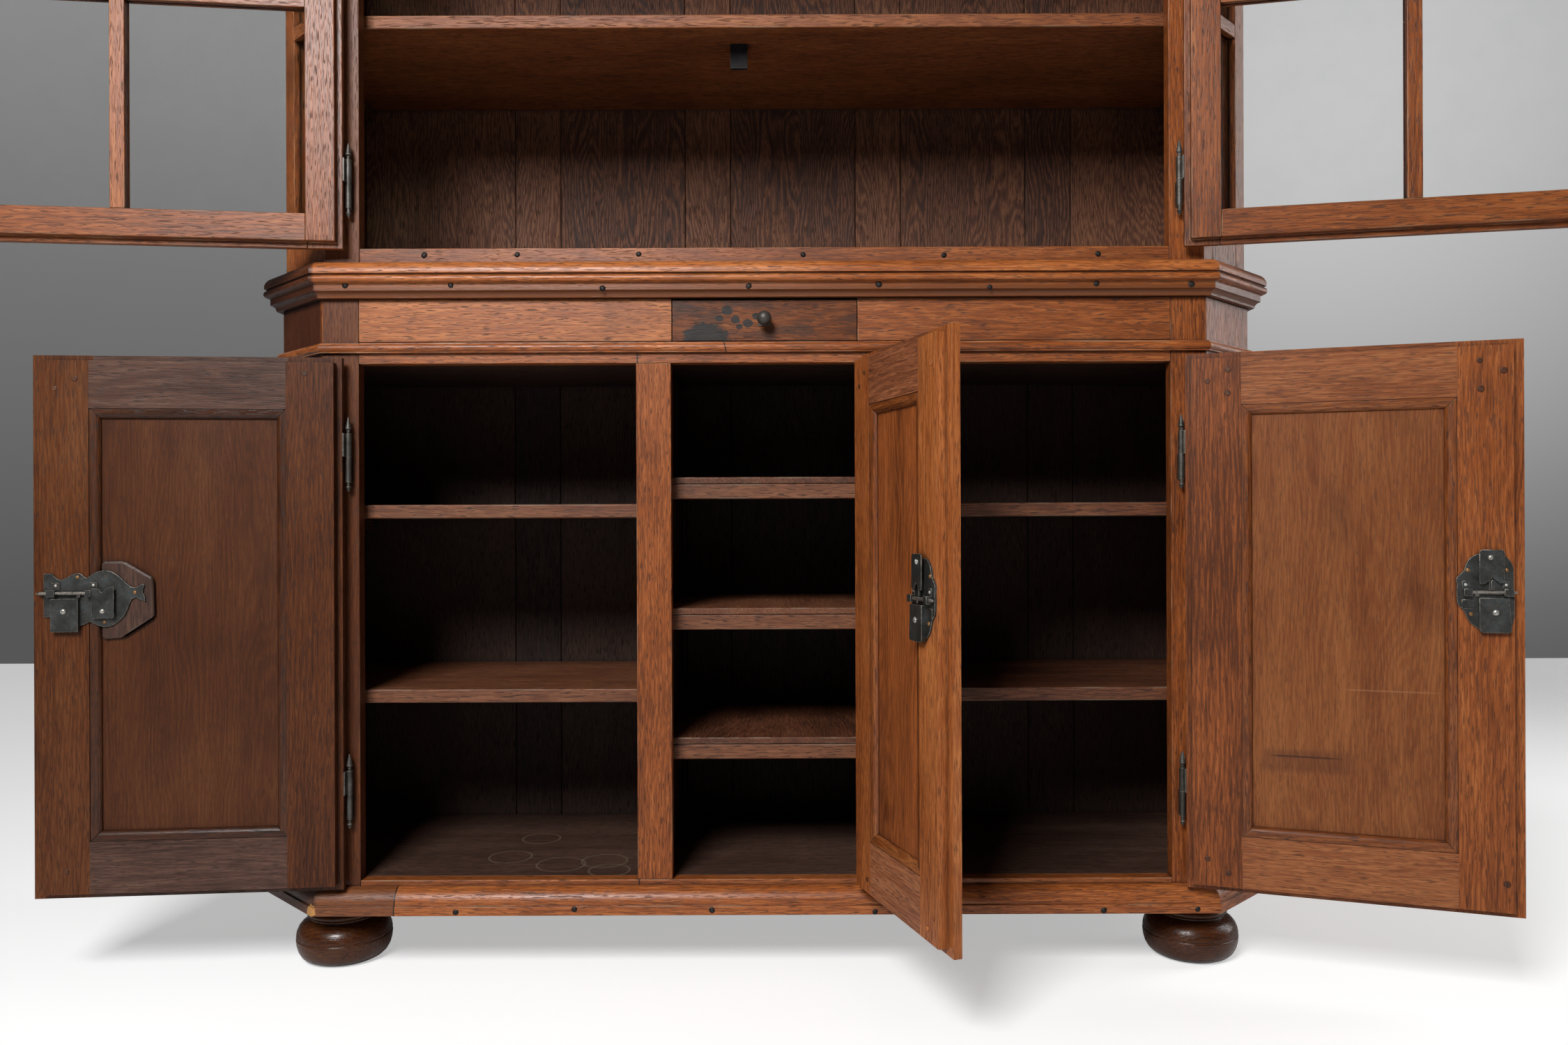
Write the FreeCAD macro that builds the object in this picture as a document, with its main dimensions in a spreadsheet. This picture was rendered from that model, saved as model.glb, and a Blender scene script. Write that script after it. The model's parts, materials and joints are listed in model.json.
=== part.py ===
import FreeCAD, Part
import functools
import math
import os
import re

import Sketcher

# Vitrine cabinet in two parts with canted corners: origin on the floor under the middle of the
# carcass, front towards -Y, +Z up. The doors stand open and the drawer is shut.

# Driving dimensions, in millimetres and degrees
SIZES = {
    # plan
    "FrontHalf": (635, "half the width of the front face, out to the canted corners"),
    "Cant": (100, "run of a canted corner, the same in X and in Y"),
    "Depth": (390, "front face to back face"),
    "WallThick": (22, "front frame, canted boards and side boards"),
    "BackThick": (15, "back boards"),
    "PostWidth": (51.5, "front face of a corner post"),
    "UpperInset": (4, "set-back of the vitrine from the face of the lower part"),
    # heights
    "FootHeight": (88, "floor to the underside of the carcass"),
    "ThresholdHeight": (43.5, "threshold rail"),
    "DoorOpening": (742.5, "lower door opening"),
    "FrontRailHeight": (31, "rail above the lower doors"),
    "FriezeHeight": (62, "frieze with the drawer"),
    "WaistBoardThick": (26, "top board of the lower part"),
    "SillHeight": (48, "sill rail of the vitrine"),
    "VitrineOpening": (993, "upper door opening"),
    "HeadHeight": (62, "head rail of the vitrine"),
    "TopThick": (20, "top board of the vitrine"),
    # feet
    "FootBelly": (68, "largest radius of a bun foot"),
    "FootContact": (45, "radius of the flat that stands on the floor"),
    "FootNeck": (47, "radius of the neck"),
    "FootCollar": (51, "radius of the collar under the carcass"),
    "FootBellyRise": (36, "height of the largest radius"),
    "FootBallTop": (68, "height where the ball meets the neck"),
    "FootCollarHeight": (12, "collar under the carcass"),
    "FootTenon": (14, "radius of the tenon in the foot block"),
    "FootFromFront": (68, "front feet behind the front face"),
    "FootFromBack": (75, "back feet before the back face"),
    "FootFromCorner": (3, "middle of the feet inside the corners of the front"),
    "FootBlockSide": (120, "side of a foot block"),
    "TenonPlay": (0.3, "clearance round a foot's tenon"),
    # inside of the lower part
    "FloorThick": (20, "floor board"),
    "CentreHalf": (135, "half the middle door opening"),
    "PartitionPost": (50, "width of a partition post"),
    "PartitionThick": (20, "partition board"),
    "DeckThick": (20, "board under the drawer"),
    "ShelfThick": (20, "side shelf"),
    "ShelfSetBack": (12, "shelf edges behind the front frame"),
    "SideShelfLow": (269.5, "top of the lower side shelf above the floor board"),
    "SideShelfHigh": (540.5, "top of the upper side shelf above the floor board"),
    "CentreShelfLow": (197.5, "top of the lowest centre shelf above the floor board"),
    "CentreShelfMiddle": (387.5, "top of the middle centre shelf above the floor board"),
    "CentreShelfHigh": (579.5, "top of the highest centre shelf above the floor board"),
    "CentreBoardThick": (10, "board of a centre shelf"),
    "CentreRailHeight": (22, "rail under the front of a centre shelf"),
    "CentreRailThick": (20, "the same rail, front to back"),
    "BearerSide": (18, "shelf bearers"),
    "NarrowBoard": (80, "narrow back board"),
    "BoardShift": (45, "narrow back boards stand this far to the right of an even spacing"),
    # drawer
    "DrawerHalf": (133.5, "half the drawer opening"),
    "DrawerPlay": (1, "gap round the drawer"),
    "DrawerTopPlay": (3, "gap above the drawer front"),
    "DrawerBackGap": (33, "back boards behind the drawer"),
    "DrawerSideThick": (11, "drawer sides and back"),
    "DrawerSideHeight": (46, "drawer sides and back"),
    "DrawerBottomThick": (7, "drawer bottom"),
    "DrawerBottomRise": (5, "drawer bottom above the lower edge of the sides"),
    "DrawerRun": (0.3, "running gap under the drawer"),
    "GuideWidth": (20, "drawer guide"),
    "GuideHeight": (24, "drawer guide"),
    "StopThick": (15, "block behind the drawer"),
    "KnobRadius": (10.5, "knob across its head"),
    "KnobHeadLength": (15, "head of the knob"),
    "KnobNeckRadius": (4, "shank of the knob"),
    "KnobNeckLength": (9, "shank outside the drawer front"),
    "ShankPlay": (0.1, "clearance round the shank"),
    "KnobPlateSide": (17, "square plate behind the knob"),
    "KnobPlateThick": (1.5, "the same plate"),
    # doors
    "DoorPlay": (2.5, "gap between a door and its opening"),
    "LipHinge": (5.5, "lip over the frame at the hinge side"),
    "LipFree": (12, "lip over the frame at the lock side"),
    "LipEnd": (6, "lip over the frame at top and bottom"),
    "LipThick": (11, "lip, front to back"),
    "LipSeat": (0.3, "gap between a lip and the frame"),
    "BodyThick": (13, "part of a lower door inside the opening"),
    "SideStile": (65, "stiles of the side doors"),
    "MiddleStile": (52, "stiles of the middle door"),
    "TopRail": (66, "upper rail of a lower door"),
    "BottomRail": (72, "lower rail of a lower door"),
    "PanelThick": (9, "door panel"),
    "PanelSink": (8, "panel behind the inner face of the frame"),
    "PanelTongue": (8, "depth of the groove that holds the panel"),
    "PanelPlay": (1, "panel short of the bottom of its groove"),
    "FieldRise": (5, "raised field on the outer side of a panel"),
    "FieldMargin": (10, "foot of the field's bevel from the frame"),
    "FieldBevel": (26, "width of the field's bevel"),
    "StripWidth": (14, "moulded strip round the inside of a panel"),
    "StripHeight": (7, "the same strip at the frame"),
    "StripEdge": (1.5, "the same strip at its thin edge"),
    "StripFlat": (3, "flat along the strip's high edge"),
    "TenonLength": (36, "rail tenons"),
    "TenonThick": (8, "rail tenons"),
    "TenonShoulder": (12, "shoulder above and below a tenon"),
    "UpperTenon": (24, "rail tenons of an upper door"),
    "UpperStile": (40, "stiles of an upper door"),
    "UpperRail": (38.5, "rails of an upper door"),
    "UpperBodyThick": (11, "part of an upper door inside the opening"),
    "GlazingBar": (20, "glazing bars"),
    "GlazingBarSink": (2, "glazing bars behind the faces of the door"),
    "GlassThick": (3, "panes"),
    "GlassSink": (9, "panes behind the outer face"),
    "MeetPlay": (1.5, "each upper door short of the middle"),
    "CoverLip": (12, "lip of the right upper door over the left one"),
    "LightStile": (32, "stiles of a corner light"),
    # hinges
    "AxisOffset": (11, "hinge axis outside the edge of the opening"),
    "BarrelRadius": (4.5, "knuckle on the door"),
    "FixedBarrelRadius": (4, "knuckle on the frame"),
    "PinRadius": (2.5, "hinge pin"),
    "PinPlay": (0.1, "clearance round the pin"),
    "PinShort": (4, "pin short of the top of its knuckle"),
    "KnuckleLength": (33, "knuckle on the door"),
    "FixedBarrelLength": (36, "knuckle on the frame"),
    "FinialTop": (23, "turned end above the door's knuckle"),
    "FinialBottom": (13, "turned end below the frame's knuckle"),
    "FinialNeck": (2.4, "radius of the neck under a turned end"),
    "LeafThick": (2, "hinge leaves"),
    "LeafSink": (12, "leaf in the frame"),
    "HingeRun": (0.3, "gap between the two knuckles"),
    "HingeInset": (78, "lower door hinges from the ends of the opening"),
    "UpperHingeInset": (42, "upper door hinges from the ends of the opening"),
    # locks
    "LockRise": (418.5, "bolt above the threshold"),
    "LockPlate": (2.5, "lock plates"),
    "LockCover": (2, "cover plates"),
    "BowNear": (4, "bow lock plate from the free edge"),
    "BowSquare": (36, "end of the bow plate's straight edges"),
    "BowHigh": (46, "bow plate above the bolt"),
    "BowLow": (54, "bow plate below the bolt"),
    "BowCoverLow": (14, "cover of the bow lock above the bolt"),
    "BowCoverWide": (56, "far edge of that cover"),
    "NotchHalf": (6, "half the notch in the cover"),
    "NotchDeep": (8, "depth of that notch"),
    "CaseNear": (10, "case plate from the free edge"),
    "CaseWide": (36, "case plate"),
    "CaseHigh": (36, "case plate"),
    "CaseDrop": (12, "top of the case plate below the bolt"),
    "CaseThick": (5, "case plate"),
    "RivetRadius": (3.5, "rivet on the case plate"),
    "ScrewRadius": (2.8, "screw heads on the lock plates"),
    "ScrewHead": (1.2, "height of a screw head"),
    "BoltHigh": (12, "lock bolt"),
    "BoltThick": (6, "lock bolt"),
    "BoltLength": (52, "lock bolt"),
    "BoltProud": (1, "bolt past the free edge when drawn back"),
    "BoltPlay": (0.3, "clearance round the bolt"),
    "BoltThrow": (12, "travel of the bolt"),
    "StapleWide": (6, "staples over the bolt"),
    "StapleWall": (3, "metal of a staple"),
    "StapleNear": (8, "first staple from the free edge"),
    "StapleFar": (34, "second staple from the free edge"),
    "KeyPlateWide": (16, "keyhole plate on the outer face"),
    "KeyPlateHigh": (44, "keyhole plate on the outer face"),
    "KeyPlateThick": (1.5, "keyhole plate on the outer face"),
    "FishNear": (6, "fish lock plate from the free edge"),
    "FishHead": (26, "height of the plate at the free edge"),
    "FishLobe": (36, "radius of the round lobe"),
    "FishLobeFar": (85, "centre of the lobe from the free edge"),
    "FishTailRoot": (114, "start of the tail from the free edge"),
    "FishTailEnd": (146, "end of the tail from the free edge"),
    "FishTailNarrow": (9, "half height of the tail at its root"),
    "FishTailWide": (23, "half height of the tail at its end"),
    "FishTailNotch": (9, "notch in the end of the tail"),
    "BlockNear": (81, "lock block from the free edge"),
    "BlockWide": (74, "lock block"),
    "BlockHigh": (107, "lock block"),
    "BlockCorner": (20, "cut corners of the lock block"),
    # mouldings
    "BaseHeight": (36, "base moulding"),
    "BaseReach": (25, "base moulding"),
    "BaseFillet": (13, "flat foot of the base moulding"),
    "BaseStep": (3, "step above that flat"),
    "BaseTop": (5, "reach of its top edge"),
    "StringHeight": (14, "string moulding"),
    "StringDrop": (2, "top of the string moulding below the frieze"),
    "StringFillet": (6, "reach of its flats"),
    "StringEdge": (1.5, "height of its flats"),
    "WaistHeight": (51, "waist moulding"),
    "WaistFoot": (9, "reach of its lower edge"),
    "FasciaReach": (17, "reach of its flat band"),
    "FasciaLow": (9, "foot of the flat band"),
    "FasciaHigh": (19, "head of the flat band"),
    "BeadReach": (23, "root of its bead"),
    "BeadLow": (20.5, "foot of the bead"),
    "BeadHigh": (30, "head of the bead"),
    "GrooveReach": (21, "groove above the bead"),
    "CrownLow": (33, "foot of the crown above the groove"),
    "CrownReach": (25, "reach of the crown"),
    "CrownEdge": (38, "head of the crown's flat"),
    "CrownTop": (8, "reach of the top edge"),
    "CorniceHeight": (76, "cornice"),
    "CorniceDrop": (12, "cornice below the top of the head rail"),
    "CorniceFoot": (8, "reach of its lower edge"),
    "CorniceFootHigh": (9, "flat at its lower edge"),
    "CorniceHollow": (38, "reach of its hollow"),
    "CorniceHollowHigh": (42, "head of its hollow"),
    "CorniceStep": (5, "step above the hollow"),
    "CorniceReach": (60, "cornice"),
    "CorniceBand": (12, "flat at its top"),
    # nails
    "NailHead": (3.2, "radius of a nail head"),
    "NailHeadHigh": (1.2, "nail head"),
    "NailShank": (1.5, "radius of a nail"),
    "NailLength": (14, "nail in the wood"),
    "NailEnd": (35, "first and last nails from the ends of their row"),
    # angles of the open doors
    "LeftDoorAngle": (175, "left lower door from shut"),
    "MiddleDoorAngle": (108, "middle door from shut"),
    "RightDoorAngle": (161, "right lower door from shut"),
    "UpperLeftAngle": (173, "left upper door from shut"),
    "UpperRightAngle": (168, "right upper door from shut"),
}

# Sizes worked out from the driving dimensions
DERIVED = {
    "Mitre": "tan(22.5 deg)",
    "FrontY": "-Depth / 2",
    "BackY": "Depth / 2",
    "SideX": "FrontHalf + Cant",
    "InnerSideX": "SideX - WallThick",
    "InnerFrontY": "FrontY + WallThick",
    "InnerBackY": "BackY - BackThick",
    "FootFromCentre": "FrontHalf - FootFromCorner",
    "DrawerLength": "InnerBackY - DrawerBackGap - InnerFrontY",
    "UpperFrontY": "FrontY + UpperInset",
    "OpeningHalf": "FrontHalf - PostWidth",
    "ThresholdZ": "FootHeight + ThresholdHeight",
    "RailZ": "ThresholdZ + DoorOpening",
    "FriezeZ": "RailZ + FrontRailHeight",
    "WaistZ": "FriezeZ + FriezeHeight",
    "UpperZ": "WaistZ + WaistBoardThick",
    "SillZ": "UpperZ + SillHeight",
    "HeadZ": "SillZ + VitrineOpening",
    "CorniceZ": "HeadZ + HeadHeight",
    "DeckZ": "FriezeZ - DeckThick",
    "PartitionMiddle": "CentreHalf + PartitionPost / 2",
    "PartitionInner": "PartitionMiddle - PartitionThick / 2",
    "PartitionOuter": "PartitionMiddle + PartitionThick / 2",
    "ShelfFront": "WallThick + ShelfSetBack",
    "SideDoorWidth": "OpeningHalf - CentreHalf - PartitionPost",
    "LockZ": "ThresholdZ + LockRise",
    "DoorBack": "LipThick + LipSeat + BodyThick",
    "UpperDoorBack": "LipThick + LipSeat + UpperBodyThick",
    "PaneHeight": "(VitrineOpening - 2 * DoorPlay - 2 * UpperRail - 2 * GlazingBar) / 3",
    "FirstPaneZ": "SillZ + DoorPlay + UpperRail",
    "BarStep": "PaneHeight + GlazingBar",
    "LeafZ": "FinialBottom + FixedBarrelLength",
    "HingeLength": "LeafZ + HingeRun + KnuckleLength + FinialTop",
    "BoltY": "DoorBack + LockPlate + BoltPlay",
}

V = FreeCAD.Vector
STRAIGHT_UP = V(0, 0, 1)
ALONG_X = FreeCAD.Rotation(V(1, 1, 1), 120)
ALONG_Y = FreeCAD.Rotation(V(1, 0, 0), -90)
ROUND, HOLLOW = 1, -1
ARC_SHARE = 0.56

doc = FreeCAD.newDocument("vitrine_cabinet")
sheet = doc.addObject("Spreadsheet::Sheet", "Sizes")
for row, (alias, (number, note)) in enumerate(SIZES.items(), start=1):
    sheet.set(f"A{row}", alias)
    sheet.set(f"B{row}", str(number))
    sheet.setAlias(f"B{row}", alias)
    sheet.set(f"C{row}", note)
doc.recompute()
NODES = []


# Formulas and placing

@functools.lru_cache(maxsize=None)
def formula(text):
    """The text with each named size written out as a cell of the sheet."""
    def swap(match):
        word = match.group(0)
        if word in DERIVED:
            return "(" + formula(DERIVED[word]) + ")"
        return "Sizes." + word if word in SIZES else word
    return re.sub(r"[A-Za-z]+", swap, text)


@functools.lru_cache(maxsize=None)
def value(text):
    """The number that a formula gives now."""
    result = sheet.evalExpression(formula(text))
    return float(getattr(result, "Value", result))


def bind(thing, **formulas):
    for name, text in formulas.items():
        thing.setExpression(name, formula(str(text)))


def place(thing, x="0", y="0", z="0", turn=None):
    if turn is not None:
        thing.Placement = FreeCAD.Placement(V(), turn)
    for axis, text in zip("xyz", (x, y, z)):
        if text != "0":
            thing.setExpression(f"Placement.Base.{axis}", formula(text))
    return thing


def node(name, solids):
    """One named sub-part: a group of separate solids."""
    group = doc.addObject("Part::Compound", name)
    group.Label = name
    group.Links = solids
    NODES.append(group)
    return group


# Solids

def box(x0, x1, y0, y1, z0, z1):
    block = doc.addObject("Part::Box", "Block")
    bind(block, Length=f"({x1}) - ({x0})", Width=f"({y1}) - ({y0})", Height=f"({z1}) - ({z0})")
    return place(block, x0, y0, z0)


def rod(radius, low, high, x="0", y="0"):
    """An upright cylinder."""
    cylinder = doc.addObject("Part::Cylinder", "Rod")
    bind(cylinder, Radius=radius, Height=f"({high}) - ({low})")
    return place(cylinder, x, y, low)


def stud(radius, x, z, y0, y1):
    """A cylinder that lies along Y."""
    cylinder = doc.addObject("Part::Cylinder", "Stud")
    bind(cylinder, Radius=radius, Height=f"({y1}) - ({y0})")
    return place(cylinder, x, y0, z, ALONG_Y)


def cone(low_radius, high_radius, low, high, x="0", y="0"):
    taper = doc.addObject("Part::Cone", "Taper")
    bind(taper, Radius1=low_radius, Radius2=high_radius, Height=f"({high}) - ({low})")
    return place(taper, x, y, low)


def fuse(shapes):
    whole = doc.addObject("Part::MultiFuse", "Joined")
    whole.Shapes = shapes
    whole.Refine = True
    return whole


def cut(base, tools):
    rest = doc.addObject("Part::Cut", "Trimmed")
    rest.Base = base
    if len(tools) == 1:
        rest.Tool = tools[0]
    else:
        rest.Tool = doc.addObject("Part::Compound", "Tools")
        rest.Tool.Links = tools
    return rest


def common(base, tool):
    shared = doc.addObject("Part::Common", "Shared")
    shared.Base = base
    shared.Tool = tool
    return shared


def fix(sketch, kind, place_of, text):
    """One measured constraint of a sketch, tied to its formula."""
    index = sketch.addConstraint(Sketcher.Constraint(kind, *place_of, value(text)))
    sketch.setExpression(f"Constraints[{index}]", formula(text))


def arc_between(here, there, radius):
    """The short arc between two points, its centre to the left of the way for a positive radius."""
    chord = there - here
    half = chord.Length / 2
    left = V(-chord.y, chord.x, 0) / chord.Length
    centre = (here + there) / 2 + left * math.copysign(math.sqrt(radius ** 2 - half ** 2), radius)
    angles = [math.atan2((p - centre).y, (p - centre).x) for p in (here, there)]
    first, last = angles if radius > 0 else reversed(angles)
    if last < first:
        last += 2 * math.pi
    return Part.ArcOfCircle(Part.Circle(centre, STRAIGHT_UP, abs(radius)), first, last)


def draw(sketch, points, sense=1):
    """A closed outline: (x, y) starts a straight edge, (x, y, ROUND or HOLLOW) starts an arc."""
    edges = []
    for i, (x, y, *bulge) in enumerate(points):
        next_x, next_y = points[(i + 1) % len(points)][:2]
        here, there = V(value(x), value(y), 0), V(value(next_x), value(next_y), 0)
        if not bulge:
            index = sketch.addGeometry(Part.LineSegment(here, there), False)
            edges.append((index, 1, 2))
            continue
        size = f"{ARC_SHARE} * (abs(({next_x}) - ({x})) + abs(({next_y}) - ({y})))"
        way = bulge[0] * sense
        index = sketch.addGeometry(arc_between(here, there, way * value(size)), False)
        edges.append((index, 1, 2) if way > 0 else (index, 2, 1))
        fix(sketch, "Radius", (index,), size)
    for i, (index, start, end) in enumerate(edges):
        after, after_start, after_end = edges[(i + 1) % len(edges)]
        sketch.addConstraint(Sketcher.Constraint("Coincident", index, end, after, after_start))
        fix(sketch, "DistanceX", (index, start), points[i][0])
        fix(sketch, "DistanceY", (index, start), points[i][1])


def body_with_sketch(name, plane, points, sense=1):
    body = doc.addObject("PartDesign::Body", name)
    sketch = body.newObject("Sketcher::SketchObject", name + "Outline")
    support = next(f for f in body.Origin.OriginFeatures if f.Role == plane)
    sketch.AttachmentSupport = (support, [""])
    sketch.MapMode = "FlatFace"
    draw(sketch, points, sense)
    return body, sketch


def slab(name, points, low, thick):
    """A board cut to a plan outline."""
    body, sketch = body_with_sketch(name, "XY_Plane", points)
    pad = body.newObject("PartDesign::Pad", name + "Pad")
    pad.Profile = sketch
    bind(pad, Length=thick)
    return place(body, z=low)


def plate(name, points, y, thick, sense=1):
    """A plate cut to an outline in X and Z, from y towards +Y."""
    body, sketch = body_with_sketch(name, "XZ_Plane", points, sense)
    pad = body.newObject("PartDesign::Pad", name + "Pad")
    pad.Profile = sketch
    pad.Reversed = True
    bind(pad, Length=thick)
    return place(body, y=y)


def turned(name, points):
    """A solid of revolution about Z from its half section."""
    body, sketch = body_with_sketch(name, "XZ_Plane", points)
    lathe = body.newObject("PartDesign::Revolution", name + "Lathe")
    lathe.Profile = sketch
    lathe.ReferenceAxis = (sketch, ["V_Axis"])
    lathe.Angle = 360
    return body


# The outline of the carcass: five faces, each with its own run along X and its outward side on +Y

RIGHT_SIDE = ("SideX", "BackY", 270, "Depth - Cant", "0", "Mitre")
RIGHT_CANT = ("SideX", "FrontY + Cant", 225, "Cant * sqrt(2)", "Mitre", "Mitre")
FRONT = ("FrontHalf", "FrontY", 180, "2 * FrontHalf", "Mitre", "Mitre")
LEFT_CANT = ("-FrontHalf", "FrontY", 135, "Cant * sqrt(2)", "Mitre", "Mitre")
LEFT_SIDE = ("-SideX", "FrontY + Cant", 90, "Depth - Cant", "Mitre", "0")
OUTLINE = (RIGHT_SIDE, RIGHT_CANT, FRONT, LEFT_CANT, LEFT_SIDE)


def mitred(start, end, inner, outer, low, high, mitre_start, mitre_end):
    """A block between two offsets from a face, its ends cut along the mitres of that face."""
    block = doc.addObject("Part::Wedge", "Mitred")
    bind(block, Ymin=inner, Ymax=outer, Zmin=low, Z2min=low, Zmax=high, Z2max=high,
         Xmin=f"({start}) - ({inner}) * ({mitre_start})",
         Xmax=f"({end}) + ({inner}) * ({mitre_end})",
         X2min=f"({start}) - ({outer}) * ({mitre_start})",
         X2max=f"({end}) + ({outer}) * ({mitre_end})")
    return block


def on_face(thing, face, z="0"):
    x, y, angle = face[:3]
    return place(thing, x, y, z, FreeCAD.Rotation(STRAIGHT_UP, angle))


def wall(face, low, high, inset="0", thick="WallThick", start=None, end=None):
    """A board behind one face, mitred where it reaches a corner."""
    length, mitre_start, mitre_end = face[3:]
    block = mitred(start or "0", end or length, f"-({inset}) - ({thick})", f"-({inset})", low, high,
                   "0" if start else mitre_start, "0" if end else mitre_end)
    return on_face(block, face)


def bar_of(profile, length, reach):
    bar = doc.addObject("Part::Extrusion", "Bar")
    bar.Base = profile
    bar.DirMode = "Normal"
    bar.Solid = True
    bind(bar, LengthFwd=f"{length} + {reach}", LengthRev=reach)
    return bar


def section(name, points):
    """The cross-section of a moulding: reach along X, height along Y."""
    profile = doc.addObject("Sketcher::SketchObject", name)
    profile.Placement = FreeCAD.Placement(V(), ALONG_X)
    draw(profile, points)
    return profile


def moulding(name, points, reach, height, level, face_at="0"):
    """Lengths of one moulding round the front, the canted corners and the sides."""
    points = [(f"{x} + ({face_at})", *rest) for x, *rest in points]
    profile = section(name + "_section", points)
    lengths = []
    for face in OUTLINE:
        length, mitre_start, mitre_end = face[3:]
        clip = mitred("0", length, "-UpperInset - WallThick", reach, "-WallThick",
                      f"{height} + WallThick", mitre_start, mitre_end)
        lengths.append(on_face(common(bar_of(profile, length, reach), clip), face, level))
    return node(name, lengths)


def plan(inset, front, back="InnerBackY"):
    """The carcass outline, inset from its faces, with the front edge at its own distance."""
    x = f"FrontHalf - ({inset}) * Mitre + ({front}) - ({inset})"
    side = f"SideX - ({inset})"
    corner = f"FrontY + Cant + ({inset}) * Mitre"
    edge = f"FrontY + ({front})"
    return [(f"-({side})", back), (f"-({side})", corner), (f"-({x})", edge),
            (x, edge), (side, corner), (side, back)]


# Lower part

def bun_feet():
    section_points = [
        ("0", "0"), ("FootContact", "0", ROUND), ("FootBelly", "FootBellyRise", ROUND),
        ("FootNeck", "FootBallTop"), ("FootNeck", "FootHeight - FootCollarHeight"),
        ("FootCollar", "FootHeight - FootCollarHeight"), ("FootCollar", "FootHeight"),
        ("FootTenon", "FootHeight"), ("FootTenon", "ThresholdZ - FloorThick"),
        ("0", "ThresholdZ - FloorThick")]
    feet, blocks = [], []
    for side in ("-FootFromCentre", "FootFromCentre"):
        for y in ("FrontY + FootFromFront", "BackY - FootFromBack"):
            feet.append(place(turned("Foot", section_points), side, y))
            half = "FootBlockSide / 2"
            clip = slab("BlockClip", plan("WallThick", "WallThick"), "FootHeight",
                        "ThresholdHeight - FloorThick")
            block = box(f"{side} - {half}", f"{side} + {half}", f"{y} - {half}", f"{y} + {half}",
                        "FootHeight", "ThresholdZ - FloorThick")
            hole = rod("FootTenon + TenonPlay", "FootHeight", "ThresholdZ - FloorThick", side, y)
            blocks.append(cut(common(block, clip), [hole]))
    node("bun_feet", feet)
    return blocks


def lower_frame(slots):
    """Posts, rails and frieze boards of the front, with the slots for hinge leaves and bolts."""
    right = wall(FRONT, "FootHeight", "WaistZ", end="PostWidth")
    left = wall(FRONT, "FootHeight", "WaistZ", start="2 * FrontHalf - PostWidth")
    inner, outer = "CentreHalf", "CentreHalf + PartitionPost"
    left_part = box(f"-({outer})", f"-({inner})", "FrontY", "InnerFrontY", "ThresholdZ", "RailZ")
    right_part = box(inner, outer, "FrontY", "InnerFrontY", "ThresholdZ", "RailZ")
    node("lower_posts", [cut(left, slots["left"]), cut(right, slots["right"]),
                         cut(left_part, slots["left_part"]), cut(right_part, slots["right_part"])])
    rails = [box("-OpeningHalf", "OpeningHalf", "FrontY", "InnerFrontY", low, high)
             for low, high in (("FootHeight", "ThresholdZ"), ("RailZ", "FriezeZ"))]
    frieze = [box(x0, x1, "FrontY", "InnerFrontY", "FriezeZ", "WaistZ")
              for x0, x1 in (("-OpeningHalf", "-DrawerHalf"), ("DrawerHalf", "OpeningHalf"))]
    node("lower_rails", rails + frieze)
    node("lower_side_boards", [wall(face, "FootHeight", "WaistZ") for face in OUTLINE if face != FRONT])


def back_boards(name, low, high, inset):
    """Upright boards, wide and narrow in turn, between the side boards."""
    half = f"SideX - ({inset}) - WallThick"
    wide = f"(2 * ({half}) - 4 * NarrowBoard) / 5"
    edges = [f"-({half})"]
    for i in range(1, 5):
        edge = f"-({half}) + {i} * ({wide}) + {i - 1} * NarrowBoard + BoardShift"
        edges += [edge, f"{edge} + NarrowBoard"]
    edges.append(half)
    boards = [box(x0, x1, "InnerBackY", "BackY", low, high) for x0, x1 in zip(edges, edges[1:])]
    node(name, boards)


def side_shelf(sign, top):
    inset = "WallThick"
    x = f"FrontHalf - {inset} * Mitre + ShelfFront - {inset}"
    edge, corner = "FrontY + ShelfFront", f"FrontY + Cant + {inset} * Mitre"
    points = [("PartitionOuter", edge), (x, edge), ("InnerSideX", corner),
              ("InnerSideX", "InnerBackY"), ("PartitionOuter", "InnerBackY")]
    points = [(f"{sign} * ({a})", b) for a, b in points]
    return slab("SideShelf", points, f"ThresholdZ + {top} - ShelfThick", "ShelfThick")


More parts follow.
